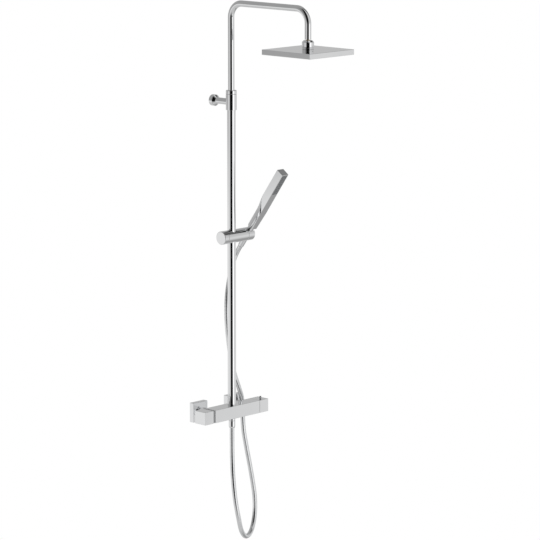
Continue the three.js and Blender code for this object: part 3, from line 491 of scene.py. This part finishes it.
def hose_mesh(path):
    """A tube whose surface dips in a helix, as the lock of the wound strip does."""
    bm = bmesh.new()
    across = Vector((1, 0, 0))
    rings = []
    for i, point in enumerate(path):
        tangent = (path[min(i + 1, len(path) - 1)] - path[max(i - 1, 0)]).normalized()
        across = (across - tangent * across.dot(tangent)).normalized()
        third = tangent.cross(across)
        ring = []
        for side in range(HOSE_SIDES):
            angle = 2 * math.pi * side / HOSE_SIDES
            phase = (i / RINGS_PER_PITCH - side / HOSE_SIDES) % 1.0
            dip = HOSE_GROOVE * max(0.0, math.cos(2 * math.pi * phase)) ** 2
            radius = HOSE_RADIUS - dip
            ring.append(bm.verts.new(point + across * radius * math.cos(angle)
                                     + third * radius * math.sin(angle)))
        rings.append(ring)
    for first, second in zip(rings, rings[1:]):
        bridge(bm, first, second)
    bm.faces.new(rings[0])
    bm.faces.new(rings[-1])
    return made("hose_tube", bm)


def add_hose():
    path, length = hose_path()
    hose = hose_mesh(path)
    hose.name = "fine_hose"
    dress(hose, LOOKS["hose_metal"], 60)
    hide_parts("hose")
    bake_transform(hose)


add_hose()


# ---- wall unions and covers ----
UNION_RADIUS = 10.0
UNION_BORE = 7.0
UNION_FLANGE_RADIUS = 12.0
UNION_FLANGE = 4.0
COVER_WALL = 4.0
COVER_HOLLOW = 22.0


def add_inlet(side):
    low, high = box_mm(f"escutcheon_{side}")
    x = (low.x + high.x) / 2
    centre = (x, 0.0)
    cover = cut(
        block(low, high, 0.8),
        rod("y", centre, UNION_RADIUS + GAP, low.y - 1, 1),
        rod("y", centre, COVER_HOLLOW, low.y + COVER_WALL, 1),
    )
    stand_for(f"escutcheon_{side}", cover)

    low, high = box_mm(f"wall_union_{side}")
    union = turned("y", centre, [
        (UNION_BORE, low.y),
        (UNION_FLANGE_RADIUS, low.y),
        (UNION_FLANGE_RADIUS, low.y + UNION_FLANGE),
        (UNION_RADIUS, low.y + UNION_FLANGE),
        (UNION_RADIUS, 0),
        (UNION_BORE, 0),
    ])
    stand_for(f"wall_union_{side}", union, slot="chrome")

    low, high = box_mm(f"union_nut_{side}")
    corner = (high.z - low.z) / 2
    corner = max(corner, (high.x - low.x) / 2)
    flat_first = (high.z - low.z) < (high.x - low.x)
    stand_for(f"union_nut_{side}", hex_nut(centre, corner, low.y, high.y, flat_first))


def hex_nut(centre, corner, start, end, corner_on_x):
    """A hexagon with its corners turned off at both ends, open for the union's flange and pipe."""
    bm = bmesh.new()
    turn = 0.0 if corner_on_x else math.pi / 6
    rings = []
    for station in (start, end):
        rings.append([bm.verts.new(on_axis("y", centre, corner, turn + math.pi * i / 3, station))
                      for i in range(6)])
    bridge(bm, *rings)
    for ring in rings:
        bm.faces.new(ring)
    upright = [edge for edge in bm.edges if abs(edge.verts[0].co.y - edge.verts[1].co.y) > 1]
    bmesh.ops.bevel(bm, geom=upright, offset=0.35, segments=2, profile=0.5, affect="EDGES")
    nut = made("hexagon", bm)
    flat = corner * math.cos(math.pi / 6)
    taper = (corner - flat) / 2 + 0.3
    envelope = turned("y", centre, [
        (0, start),
        (flat, start),
        (corner + 0.5, start + taper),
        (corner + 0.5, end - taper),
        (flat, end),
        (0, end),
    ], 0.05)
    nut = combined("INTERSECT", nut, envelope)
    return cut(
        nut,
        rod("y", centre, UNION_FLANGE_RADIUS + GAP, start - 1,
            start + UNION_FLANGE + 2.9 + 3 * GAP, 0.1),
        rod("y", centre, UNION_RADIUS + GAP, start - 1, end + 1, 0),
    )


add_inlet("left")
add_inlet("right")


# ---- bar mixer ----
FLOW_BORE = 13.0
FLOW_BORE_DEPTH = 54.0
THERMO_BORE = 14.5
THERMO_BORE_DEPTH = 66.0
PORT_RADIUS = 8.5
RISER_SEAT = 11.0
OUTLET_RADIUS = 8.0
OUTLET_BORE = 5.0
HOSE_NUT_TAPER = 1.5
HOSE_NUT_TAPER_LENGTH = 4.0
FLOW_SPINDLE = 4.0
THERMO_SPINDLE = 5.0
THERMO_SPINDLE_SOCKET = 22.0
BUTTON_RADIUS = 2.9
BUTTON_WELL_FLOOR = 7.5
BUTTON_CROWN = 1.2
INLET_X = 75.0
FLOW_SPINDLE_SOCKET = 17.3
RISER_LOW, RISER_HIGH = box_mm("lower_riser_tube")
RISER_RADIUS = (RISER_HIGH.x - RISER_LOW.x) / 2


def add_bar():
    axis = (BAR_Y, 0.0)
    body = cut(
        block(BAR_LOW, BAR_HIGH, 0.7),
        rod("x", axis, FLOW_BORE, BAR_LOW.x - 1, BAR_LOW.x + FLOW_BORE_DEPTH),
        rod("x", axis, THERMO_BORE, BAR_HIGH.x - THERMO_BORE_DEPTH, BAR_HIGH.x + 1),
        rod("z", RISER_AXIS, RISER_RADIUS + GAP, BAR_HIGH.z - RISER_SEAT - GAP, BAR_HIGH.z + 1),
        rod("z", RISER_AXIS, OUTLET_RADIUS + GAP, BAR_LOW.z - 1, -FLOW_BORE + 1),
        rod("y", (-INLET_X, 0.0), PORT_RADIUS, BAR_Y + FLOW_BORE - 1, BAR_HIGH.y + 1),
        rod("y", (INLET_X, 0.0), PORT_RADIUS, BAR_Y + THERMO_BORE - 1, BAR_HIGH.y + 1),
    )
    stand_for("valve_body", body)

    low, high = box_mm("flow_knob")
    knob = cut(
        block(low, high, 0.7),
        rod("x", axis, FLOW_SPINDLE + GAP, high.x - FLOW_SPINDLE_SOCKET, high.x + 1),
    )
    stand_for("flow_knob", knob)

    low, high = box_mm("temperature_knob")
    button_low, button_high = box_mm("temperature_stop_button")
    button_axis = ((button_low.x + button_high.x) / 2, (button_low.y + button_high.y) / 2)
    knob = cut(
        block(low, high, 0.7),
        rod("x", axis, THERMO_SPINDLE + GAP, low.x - 1, low.x + THERMO_SPINDLE_SOCKET + GAP),
        rod("z", button_axis, BUTTON_RADIUS + GAP, BUTTON_WELL_FLOOR, high.z + 1),
    )
    stand_for("temperature_knob", knob)

    stand_for("temperature_stop_button", turned("z", button_axis, [
        (0, button_low.z),
        (BUTTON_RADIUS, button_low.z),
        (BUTTON_RADIUS, button_high.z - BUTTON_CROWN),
        (BUTTON_RADIUS - 1.1, button_high.z),
        (0, button_high.z),
    ], 0.5))

    low, high = box_mm("flow_stop_ring")
    stand_for("flow_stop_ring", cut(
        block(low, high, 0.5),
        rod("x", axis, FLOW_SPINDLE + GAP, low.x - 1, high.x + 1),
    ))


def add_hose_outlet():
    low, high = box_mm("hose_outlet_nipple")
    flange = (high.x - low.x) / 2
    nut_low, nut_high = box_mm("hose_nut")
    stand_for("hose_outlet_nipple", turned("z", RISER_AXIS, [
        (OUTLET_BORE, low.z),
        (OUTLET_RADIUS, low.z),
        (OUTLET_RADIUS, nut_high.z + GAP),
        (flange, nut_high.z + GAP),
        (flange, BAR_LOW.z - GAP),
        (OUTLET_RADIUS, BAR_LOW.z - GAP),
        (OUTLET_RADIUS, high.z),
        (OUTLET_BORE, high.z),
    ]))
    radius = (nut_high.x - nut_low.x) / 2
    washer_bottom = box_mm("hose_outlet_washer")[0].z
    stand_for("hose_nut", turned("z", RISER_AXIS, [
        (OUTLET_BORE, nut_low.z),
        (radius - HOSE_NUT_TAPER, nut_low.z),
        (radius, nut_low.z + HOSE_NUT_TAPER_LENGTH),
        (radius, nut_high.z - 7),
        (radius - 0.6, nut_high.z - 6.4),
        (radius - 0.6, nut_high.z - 5.6),
        (radius, nut_high.z - 5),
        (radius, nut_high.z),
        (OUTLET_RADIUS + GAP, nut_high.z),
        (OUTLET_RADIUS + GAP, washer_bottom - GAP),
        (OUTLET_BORE, washer_bottom - GAP),
    ]))


add_bar()
add_hose_outlet()


# ---- riser, collar and wall bracket ----
RISER_BORE = 11.0
SLIDE_BORE = 10.1
BRACKET_LOW, BRACKET_HIGH = box_mm("wall_rosette")
BRACKET_AXIS = (0.0, (BRACKET_LOW.z + BRACKET_HIGH.z) / 2)
COLLAR_LOW, COLLAR_HIGH = box_mm("riser_collar")
COLLAR_RADIUS = (COLLAR_HIGH.x - COLLAR_LOW.x) / 2
STUD_RADIUS = 3.5
NECK_RADIUS = 9.8
NECK_FLARE = 7.0
ROSETTE_BEVEL = 0.8
GRUB_RADIUS = 2.0


def add_riser():
    stand_for("lower_riser_tube", pipe("z", RISER_AXIS, RISER_RADIUS, RISER_BORE,
                                       RISER_LOW.z, RISER_HIGH.z, 0.4, 128))
    stand_for("riser_collar", turned("z", RISER_AXIS, [
        (RISER_RADIUS + GAP, COLLAR_LOW.z),
        (COLLAR_RADIUS, COLLAR_LOW.z),
        (COLLAR_RADIUS, COLLAR_HIGH.z),
        (SLIDE_BORE, COLLAR_HIGH.z),
        (SLIDE_BORE, RISER_HIGH.z + GAP),
        (RISER_RADIUS + GAP, RISER_HIGH.z + GAP),
    ], 0.5, 128))
    low, high = box_mm("collar_clamp_ring")
    stand_for("collar_clamp_ring", turned("z", RISER_AXIS, [
        (SLIDE_BORE, low.z),
        (COLLAR_RADIUS - 0.5, low.z),
        (COLLAR_RADIUS, low.z + 0.5),
        (COLLAR_RADIUS, high.z - 1),
        (COLLAR_RADIUS - 1, high.z),
        (SLIDE_BORE, high.z),
    ], 0.4, 128))


def add_bracket():
    radius = (BRACKET_HIGH.x - BRACKET_LOW.x) / 2
    front = BRACKET_LOW.y
    stand_for("wall_rosette", turned("y", BRACKET_AXIS, [
        (STUD_RADIUS + GAP, front),
        (radius - ROSETTE_BEVEL, front),
        (radius, front + ROSETTE_BEVEL),
        (radius, 0),
        (STUD_RADIUS + GAP, 0),
    ], 0.5))
    foot = front - GAP
    low, high = box_mm("bracket_grub_screw")
    grub_axis = (0.0, (low.y + high.y) / 2)
    neck = cut(
        turned("y", BRACKET_AXIS, [
            (0, BAR_Y + RISER_RADIUS),
            (NECK_RADIUS, BAR_Y + RISER_RADIUS),
            (NECK_RADIUS, foot - NECK_FLARE),
            (radius - ROSETTE_BEVEL, foot),
            (0, foot),
        ], 0.6),
        rod("z", RISER_AXIS, COLLAR_RADIUS + GAP, COLLAR_LOW.z - 20, COLLAR_HIGH.z, 0),
        rod("z", grub_axis, GRUB_RADIUS + GAP, BRACKET_LOW.z, BRACKET_AXIS[1], 0, 32),
    )
    stand_for("bracket_neck", neck)
    stand_for("bracket_grub_screw", cut(
        rod("z", grub_axis, GRUB_RADIUS, low.z, high.z, 0.25, 48),
        rod("z", grub_axis, 1.1, low.z - 1, low.z + 2, 0, 6),
    ))


add_riser()
add_bracket()


# ---- upper tube ----
ARM_LOW, ARM_HIGH = box_mm("upper_arm_tube")
ARM_RADIUS = (ARM_HIGH.x - ARM_LOW.x) / 2
ARM_BORE = 8.0
ARM_BEND = 45.0
ARM_DROP_END = 1178.8
BEND_STEPS = 40
ARM_SIDES = 96


def arm_stations():
    """(y, z, angle of the section's outer side) along the tube's centre line."""
    bend_height = ARM_HIGH.z - ARM_RADIUS - ARM_BEND
    stations = [(BAR_Y, ARM_LOW.z, 0.0)]
    for centre_y, start in ((BAR_Y - ARM_BEND, 0.0), (HEAD_Y + ARM_BEND, math.pi / 2)):
        for step in range(BEND_STEPS + 1):
            angle = start + math.pi / 2 * step / BEND_STEPS
            stations.append((centre_y + ARM_BEND * math.cos(angle),
                             bend_height + ARM_BEND * math.sin(angle), angle))
    stations.append((HEAD_Y, ARM_DROP_END, math.pi))
    return stations


def arm_ring(bm, station, radius):
    y, z, outward = station
    ring = []
    for side in range(ARM_SIDES):
        angle = 2 * math.pi * side / ARM_SIDES
        out = radius * math.cos(angle)
        ring.append(bm.verts.new((radius * math.sin(angle), y + out * math.cos(outward),
                                  z + out * math.sin(outward))))
    return ring


def add_arm():
    bm = bmesh.new()
    stations = arm_stations()
    outer = [arm_ring(bm, station, ARM_RADIUS) for station in stations]
    inner = [arm_ring(bm, station, ARM_BORE) for station in stations]
    for rings in (outer, inner):
        for first, second in zip(rings, rings[1:]):
            bridge(bm, first, second)
    bridge(bm, outer[0], inner[0])
    bridge(bm, outer[-1], inner[-1])
    stand_for("upper_arm_tube", made("tube", bm))


add_arm()


# ---- rain head ----
HEAD_WALL = 4.0
NOZZLE_ROWS = 13
NOZZLE_RADIUS = 2.0
NOZZLE_TIP = 1.1
SWIVEL_CONE = 5.3
SWIVEL_SKIRT_BORE = 10.5
SWIVEL_THROAT = 7.6
BALL_HEIGHT = 1160.0
BALL_PLUG = 7.7
BALL_BORE = 2.6
BALL_NECK = 5.0
BALL_STEPS = 28
POST_RADIUS = 4.0
POST_BORE = 1.6
SCREW_WELL_RADIUS = 2.9
HEAD_INLET_RADIUS = 4.0


def add_swivel():
    low, high = box_mm("swivel_nut")
    radius = (high.x - low.x) / 2
    stand_for("swivel_nut", turned("z", HEAD_AXIS, [
        (SWIVEL_SKIRT_BORE, low.z),
        (radius, low.z),
        (radius, low.z + 4.2),
        (radius - 0.7, low.z + 4.7),
        (radius - 0.7, low.z + 5.3),
        (radius, low.z + 5.8),
        (radius, high.z - SWIVEL_CONE),
        (radius - SWIVEL_CONE, high.z),
        (SWIVEL_THROAT, high.z),
        (SWIVEL_THROAT, high.z - 11.8),
        (SWIVEL_SKIRT_BORE, high.z - 14.8),
    ], 0.5, 128))

    low, high = box_mm("ball_stem")
    ball = (high.x - low.x) / 2
    first = -math.acos(BALL_BORE / ball)
    last = math.acos(BALL_NECK / ball)
    outline = []
    for step in range(BALL_STEPS + 1):
        angle = first + (last - first) * step / BALL_STEPS
        outline.append((ball * math.cos(angle), BALL_HEIGHT + ball * math.sin(angle)))
    outline += [(BALL_NECK, ARM_DROP_END - GAP), (BALL_PLUG, ARM_DROP_END - GAP),
                (BALL_PLUG, high.z), (BALL_BORE, high.z)]
    stand_for("ball_stem", turned("z", HEAD_AXIS, outline, 0.2))


def add_head():
    plate_low, plate_high = box_mm("head_nozzle_plate")
    plate_bottom = HEAD_LOW.z + GAP
    pocket = HEAD_HIGH.x - HEAD_WALL
    posts = []
    for corner in range(4):
        low, high = box_mm(f"head_plate_screw_{corner + 1}")
        posts.append(((low.x + high.x) / 2, (low.y + high.y) / 2))
    roof = HEAD_HIGH.z - HEAD_WALL
    casing = cut(
        block(HEAD_LOW, HEAD_HIGH, 0.9),
        block((-pocket, HEAD_Y - pocket, HEAD_LOW.z - 1), (pocket, HEAD_Y + pocket, roof), 0.5),
    )
    casing = joined(casing, *[rod("z", post, POST_RADIUS, plate_high.z + GAP, roof + 1, 0, 40)
                              for post in posts])
    casing = cut(
        casing,
        rod("z", HEAD_AXIS, HEAD_INLET_RADIUS, HEAD_LOW.z, HEAD_HIGH.z + 1, 0, 48),
        *[rod("z", post, POST_BORE, plate_high.z, roof, 0, 24) for post in posts],
    )
    stand_for("head_casing", casing)

    plate = cut(
        block((-pocket + GAP, HEAD_Y - pocket + GAP, plate_bottom),
              (pocket - GAP, HEAD_Y + pocket - GAP, plate_high.z), 0.5),
        *[rod("z", post, SCREW_WELL_RADIUS, HEAD_LOW.z - 3, plate_bottom + 1.8, 0, 40)
          for post in posts],
        *[rod("z", post, POST_BORE, HEAD_LOW.z, plate_high.z + 1, 0, 24) for post in posts],
    )
    stand_for("head_nozzle_plate", merged(plate, *head_nozzles(pocket, plate_bottom, posts,
                                                               plate_low.z)))
    for corner, post in enumerate(posts):
        low, high = box_mm(f"head_plate_screw_{corner + 1}")
        screw = cut(
            turned("z", post, [
                (0, low.z),
                (2.6, low.z),
                (2.6, low.z + 1.5),
                (1.3, low.z + 1.5),
                (1.3, high.z),
                (0, high.z),
            ], 0.3, 40),
            block((post[0] - 1.7, post[1] - 0.3, low.z - 1), (post[0] + 1.7, post[1] + 0.3,
                                                              low.z + 0.8), 0),
            block((post[0] - 0.3, post[1] - 1.7, low.z - 1), (post[0] + 0.3, post[1] + 1.7,
                                                              low.z + 0.8), 0),
        )
        stand_for(f"head_plate_screw_{corner + 1}", screw)


def head_nozzles(pocket, plate_bottom, posts, tip):
    """Soft cones in rows under the plate, each with a hole, leaving the screws free."""
    pitch = 2 * pocket / (NOZZLE_ROWS + 0.6)
    middle = (NOZZLE_ROWS - 1) / 2
    cones = []
    for row in range(NOZZLE_ROWS):
        for column in range(NOZZLE_ROWS):
            x = (column - middle) * pitch
            y = HEAD_Y + (row - middle) * pitch
            if min(math.hypot(x - px, y - py) for px, py in posts) < 7:
                continue
            cones.append(turned("z", (x, y), [
                (0, plate_bottom - 0.2),
                (0.45, plate_bottom - 0.2),
                (0.45, tip),
                (NOZZLE_TIP, tip),
                (NOZZLE_RADIUS, plate_bottom + 0.4),
                (0, plate_bottom + 0.4),
            ], 0.15, 14))
    return cones


add_swivel()
add_head()


# ---- slider and holder ----
SLIDER_RADIUS = (SLIDER_HIGH.z - SLIDER_LOW.z) / 2
BUSH_RADIUS = RISER_RADIUS + GAP + 1.2
BOLT_RADIUS = 4.0
CONE_NUT_TOP = 22.0
CONE_NUT_BOTTOM = -50.0
CONE_NUT_RADIUS = 10.2
CONE_NUT_FOOT_RADIUS = 8.9


def cone_radius(station):
    share = (station - CONE_NUT_BOTTOM) / (CONE_NUT_TOP - CONE_NUT_BOTTOM)
    return CONE_NUT_FOOT_RADIUS + share * (CONE_NUT_RADIUS - CONE_NUT_FOOT_RADIUS)


def add_slider():
    axis = (BAR_Y, SLIDER_HEIGHT)
    top = SLIDER_HEIGHT + SLIDER_RADIUS + 1
    bottom = SLIDER_HEIGHT - SLIDER_RADIUS - 1
    body = cut(
        rod("x", axis, SLIDER_RADIUS, SLIDER_LOW.x, SLIDER_HIGH.x, 0.6, 128),
        rod("z", RISER_AXIS, BUSH_RADIUS + GAP, bottom, top, 0),
        rod("x", axis, BOLT_RADIUS + GAP, SLIDER_LOW.x - 1, -BUSH_RADIUS + 2, 0, 48),
        rod("x", axis, BOLT_RADIUS + GAP, SLIDER_HIGH.x - 16.3, SLIDER_HIGH.x + 1, 0, 48),
    )
    stand_for("slider_body", body)

    low, high = box_mm("clamp_knob")
    knob = cut(
        turned("x", axis, [
            (0, low.x),
            (SLIDER_RADIUS - 1, low.x),
            (SLIDER_RADIUS, low.x + 1),
            (SLIDER_RADIUS, high.x),
            (0, high.x),
        ], 0.6, 128),
        rod("x", axis, BOLT_RADIUS + GAP, low.x + 3.7, high.x + 1, 0, 48),
    )
    stand_for("clamp_knob", knob)

    low, high = box_mm("slider_bush")
    bush = cut(
        pipe("z", RISER_AXIS, BUSH_RADIUS, RISER_RADIUS + GAP, low.z, high.z, 0.3),
        block((-0.75, BAR_Y, low.z - 1), (0.75, BAR_Y + BUSH_RADIUS + 1, high.z + 1), 0),
    )
    stand_for("slider_bush", bush)


def add_holder():
    half = (HOLDER_HIGH.x - HOLDER_LOW.x) / 2
    reach = SLIDER_RADIUS + 1
    slot_half = HOSE_RADIUS + GAP
    holder = cut(
        rod("x", (0, 0), SLIDER_RADIUS, -half, half, 0.6, 128),
        turned("z", (0, 0), [
            (0, -reach),
            (cone_radius(-reach) + GAP, -reach),
            (cone_radius(reach) + GAP, reach),
            (0, reach),
        ], 0),
        block((0, -slot_half, -reach), (half + 1, slot_half, reach), 0),
        rod("x", (0, 0), BOLT_RADIUS + GAP, -half - 1, 0, 0, 48),
    )
    stand_for("holder_swivel", holder, matrix=LEANED)


add_slider()
add_holder()


# ---- hand shower ----
HANDSET_HALF = 13.5
HANDSET_FOOT = 30.6
HANDSET_TOP = 256.0
ROUNDING_TOP = 155.0         # where the back corners start to draw in
ROUNDING_FULL = 95.0         # and where the back is a full round
BACK_DEPTH = 20.0
EDGE = 0.8
FOOT_ROUNDING = 6.0
SPRAY_HALF = 10.5
SPRAY_TOP = 252.0
SPRAY_BOTTOM = 176.0
SPRAY_DEPTH = 3.0
WATERWAY = 6.0
BACK_STEPS = 20
FRONT_STEPS = 6
GRIP_STATIONS = 60


def quarter(centre_x, centre_y, radius_x, radius_y, start, steps, station):
    points = []
    for step in range(steps + 1):
        angle = start + math.pi / 2 * step / steps
        points.append((centre_x + radius_x * math.cos(angle),
                       centre_y + radius_y * math.sin(angle), station))
    return points


def handset_section(station, inset=0.0):
    """Square above; below, the back corners draw in to a round and the front ones soften."""
    t = min(max((ROUNDING_TOP - station) / (ROUNDING_TOP - ROUNDING_FULL), 0), 1)
    drawn = t * t * (3 - 2 * t)
    footed = min(max((ROUNDING_FULL - station) / (ROUNDING_FULL - HANDSET_FOOT), 0), 1)
    width = EDGE + drawn * (HANDSET_HALF - 0.2 - EDGE)
    depth = EDGE + drawn * (BACK_DEPTH - EDGE)
    front = EDGE + footed * (FOOT_ROUNDING - EDGE)
    right = HANDSET_HALF - width
    back = HANDSET_HALF - depth
    inner = HANDSET_HALF - front
    width, depth, front = (max(radius - inset, 0.02) for radius in (width, depth, front))
    return [
        *quarter(right, back, width, depth, 0, BACK_STEPS, station),
        *quarter(-right, back, width, depth, math.pi / 2, BACK_STEPS, station),
        *quarter(-inner, -inner, front, front, math.pi, FRONT_STEPS, station),
        *quarter(inner, -inner, front, front, 1.5 * math.pi, FRONT_STEPS, station),
    ]


def handset_stations():
    """(station, inset) from foot to top, with both ends eased."""
    stations = []
    grip = HANDSET_FOOT + EDGE
    for step in range(EASE_STEPS, 0, -1):
        angle = math.pi / 2 * step / EASE_STEPS
        stations.append((grip - EDGE * math.sin(angle), EDGE * (1 - math.cos(angle))))
    for step in range(GRIP_STATIONS + 1):
        stations.append((grip + (ROUNDING_TOP - grip) * step / GRIP_STATIONS, 0.0))
    for step in range(EASE_STEPS + 1):
        angle = math.pi / 2 * step / EASE_STEPS
        stations.append((HANDSET_TOP - EDGE + EDGE * math.sin(angle),
                         EDGE * (1 - math.cos(angle))))
    return stations


def handset_shell():
    bm = bmesh.new()
    rings = [[bm.verts.new(point) for point in handset_section(station, inset)]
             for station, inset in handset_stations()]
    for first, second in zip(rings, rings[1:]):
        bridge(bm, first, second)
    bm.faces.new(rings[0])
    bm.faces.new(rings[-1])
    bmesh.ops.remove_doubles(bm, verts=bm.verts[:], dist=0.0005)
    return made("shell", bm)


def add_handset():
    shell = joined(
        handset_shell(),
        rod("z", (0, 0), CONE_NUT_RADIUS, CONE_NUT_TOP + GAP, HANDSET_FOOT + 4, 0.4),
    )
    shell = cut(
        shell,
        rod("z", (0, 0), WATERWAY, CONE_NUT_TOP - 1, SPRAY_BOTTOM + 4, 0, 64),
        block((-SPRAY_HALF, -HANDSET_HALF - 1, SPRAY_BOTTOM),
              (SPRAY_HALF, -HANDSET_HALF + SPRAY_DEPTH, SPRAY_TOP), 0),
    )
    stand_for("handset_body", shell, matrix=LEANED)
    stand_for("handset_nozzle_plate", spray_plate(), matrix=LEANED)
    stand_for("cone_nut", turned("z", (0, 0), [
        (4, CONE_NUT_BOTTOM),
        (6.4, CONE_NUT_BOTTOM),
        (cone_radius(CONE_NUT_BOTTOM + 1.1), CONE_NUT_BOTTOM + 1.1),
        (CONE_NUT_RADIUS, CONE_NUT_TOP),
        (7.4, CONE_NUT_TOP),
        (7.4, 6.8),
        (4, 6.8),
    ], 0.4), matrix=LEANED)


def spray_plate():
    """The nozzle plate in the front of the hand shower: a soft sheet with rows of small nozzles."""
    front = -HANDSET_HALF
    plate = block((-SPRAY_HALF + GAP, front, SPRAY_BOTTOM + GAP),
                  (SPRAY_HALF - GAP, front + SPRAY_DEPTH - GAP, SPRAY_TOP - GAP), 0.4)
    columns = 4
    rows = 14
    pitch_x = 2 * SPRAY_HALF / columns
    pitch_z = (SPRAY_TOP - SPRAY_BOTTOM) / rows
    nozzles = []
    for row in range(rows):
        for column in range(columns):
            x = -SPRAY_HALF + (column + 0.5) * pitch_x
            z = SPRAY_BOTTOM + (row + 0.5) * pitch_z
            nozzles.append(turned("y", (x, z), [
                (0, front + 0.2),
                (0.4, front + 0.2),
                (0.4, front - 0.7),
                (0.8, front - 0.7),
                (1.4, front + 0.3),
                (0, front + 0.3),
            ], 0.1, 16))
    return merged(plate, *nozzles)


add_handset()


# ---- pieces carried over from CAD ----
def dress_carried_nodes():
    """Inner pieces keep their CAD shape and take a procedural finish."""
    replaced = {piece.name.removeprefix("fine_") for piece in bpy.data.objects
                if piece.name.startswith("fine_")}
    for name, node in frame["nodes"].items():
        if name in replaced:
            continue
        look = LOOKS[slot_of[name]]
        if not node.material_slots:
            node.data.materials.append(look)
        for slot in node.material_slots:
            slot.material = look


dress_carried_nodes()


# ---- light ----
# A closed tent of light round the object. Its brightness depends on the direction as seen from
# the object: turn 0 is towards the camera and a positive turn is towards the picture's right.
# Each row is an elevation in degrees and the (turn, screen grey) stops of the light there.
def grey(level):
    """The light that a chrome face shows as this screen grey."""
    value = level / 255
    linear = ((value + 0.055) / 1.055) ** 2.4 if value > 0.04045 else value / 12.92
    return linear / 0.87


TENT_LEVEL = [
    (-180, 210), (-90, 220), (-60, 210), (-35, 190), (-26, 10), (24, 10), (31, 260), (64, 260),
    (72, 190), (88, 190), (92, 210), (180, 210),
]
TENT = [
    (-40, [(-180, 190), (90, 190), (110, 150), (150, 150), (180, 190)]),
    (-15, TENT_LEVEL),
    (-9, TENT_LEVEL),
    (-6, [
        (-180, 170), (-120, 190), (-90, 150), (-60, 210), (-35, 190), (-26, 10), (28, 10),
        (36, 260), (66, 260), (74, 190), (92, 210), (180, 170),
    ]),
    (8, [
        (-180, 180), (-90, 150), (-60, 150), (-26, 10), (24, 10), (40, 200), (100, 190),
        (180, 180),
    ]),
    (45, [
        (-180, 150), (-90, 150), (-26, 10), (24, 10), (50, 190), (90, 210), (110, 60), (130, 60),
        (150, 150), (180, 150),
    ]),
]
TENT_RADIUS = 30.0


def tent_material():
    material = bpy.data.materials.new("light_tent")
    material.use_nodes = True
    tree = material.node_tree
    tree.nodes.clear()

    def node(kind, **inputs):
        new = tree.nodes.new(kind)
        for name, value in inputs.items():
            new.inputs[name].default_value = value
        return new

    def maths(operation, first, second=None):
        step = node("ShaderNodeMath")
        step.operation = operation
        for socket, value in zip(step.inputs, (first, second)):
            if isinstance(value, (int, float)):
                socket.default_value = value
            elif value is not None:
                tree.links.new(value, socket)
        return step.outputs[0]

    place = node("ShaderNodeTexCoord").outputs["Object"]
    split = node("ShaderNodeSeparateXYZ")
    tree.links.new(place, split.inputs[0])
    x, y, z = split.outputs
    turn = maths("ARCTAN2", y, x)
    share = maths("MULTIPLY_ADD", turn, 1 / (2 * math.pi))
    share.node.inputs[2].default_value = 0.5
    lift = maths("ARCSINE", maths("DIVIDE", z, TENT_RADIUS))

    def band(stops):
        ramp = node("ShaderNodeValToRGB")
        top = max(grey(level) for _, level in stops)
        fill_ramp(ramp.color_ramp, [((degrees + 180) / 360, (grey(level) / top,) * 3)
                                    for degrees, level in stops])
        tree.links.new(share, ramp.inputs["Fac"])
        return maths("MULTIPLY", ramp.outputs["Color"], top)

    light = band(TENT[0][1])
    for (low, _), (high, stops) in zip(TENT, TENT[1:]):
        change = node("ShaderNodeMapRange", **{"From Min": math.radians(low),
                                               "From Max": math.radians(high)})
        tree.links.new(lift, change.inputs["Value"])
        mix = node("ShaderNodeMix")
        tree.links.new(change.outputs["Result"], mix.inputs[0])
        tree.links.new(light, mix.inputs[2])
        tree.links.new(band(stops), mix.inputs[3])
        light = mix.outputs[0]
    glow = node("ShaderNodeEmission")
    tree.links.new(light, glow.inputs["Strength"])
    output = node("ShaderNodeOutputMaterial")
    tree.links.new(glow.outputs[0], output.inputs["Surface"])
    return material


def add_tent():
    bm = bmesh.new()
    bmesh.ops.create_icosphere(bm, subdivisions=6, radius=TENT_RADIUS)
    mesh = bpy.data.meshes.new("light_tent")
    bm.to_mesh(mesh)
    bm.free()
    mesh.materials.append(tent_material())
    tent = bpy.data.objects.new("light_tent", mesh)
    bpy.context.scene.collection.objects.link(tent)
    towards = -look_direction()
    tent.location = (0, 0, 0.5)
    tent.rotation_euler.z = math.atan2(towards.y, towards.x)
    tent.visible_camera = False
    tent.visible_shadow = False


def set_backdrop():
    world = bpy.data.worlds.new("white")
    world.use_nodes = True
    sockets(world.node_tree.nodes["Background"], Color=(1, 1, 1, 1), Strength=1.0)
    bpy.context.scene.world = world
    bpy.context.scene.view_settings.view_transform = "Standard"


add_tent()
set_backdrop()
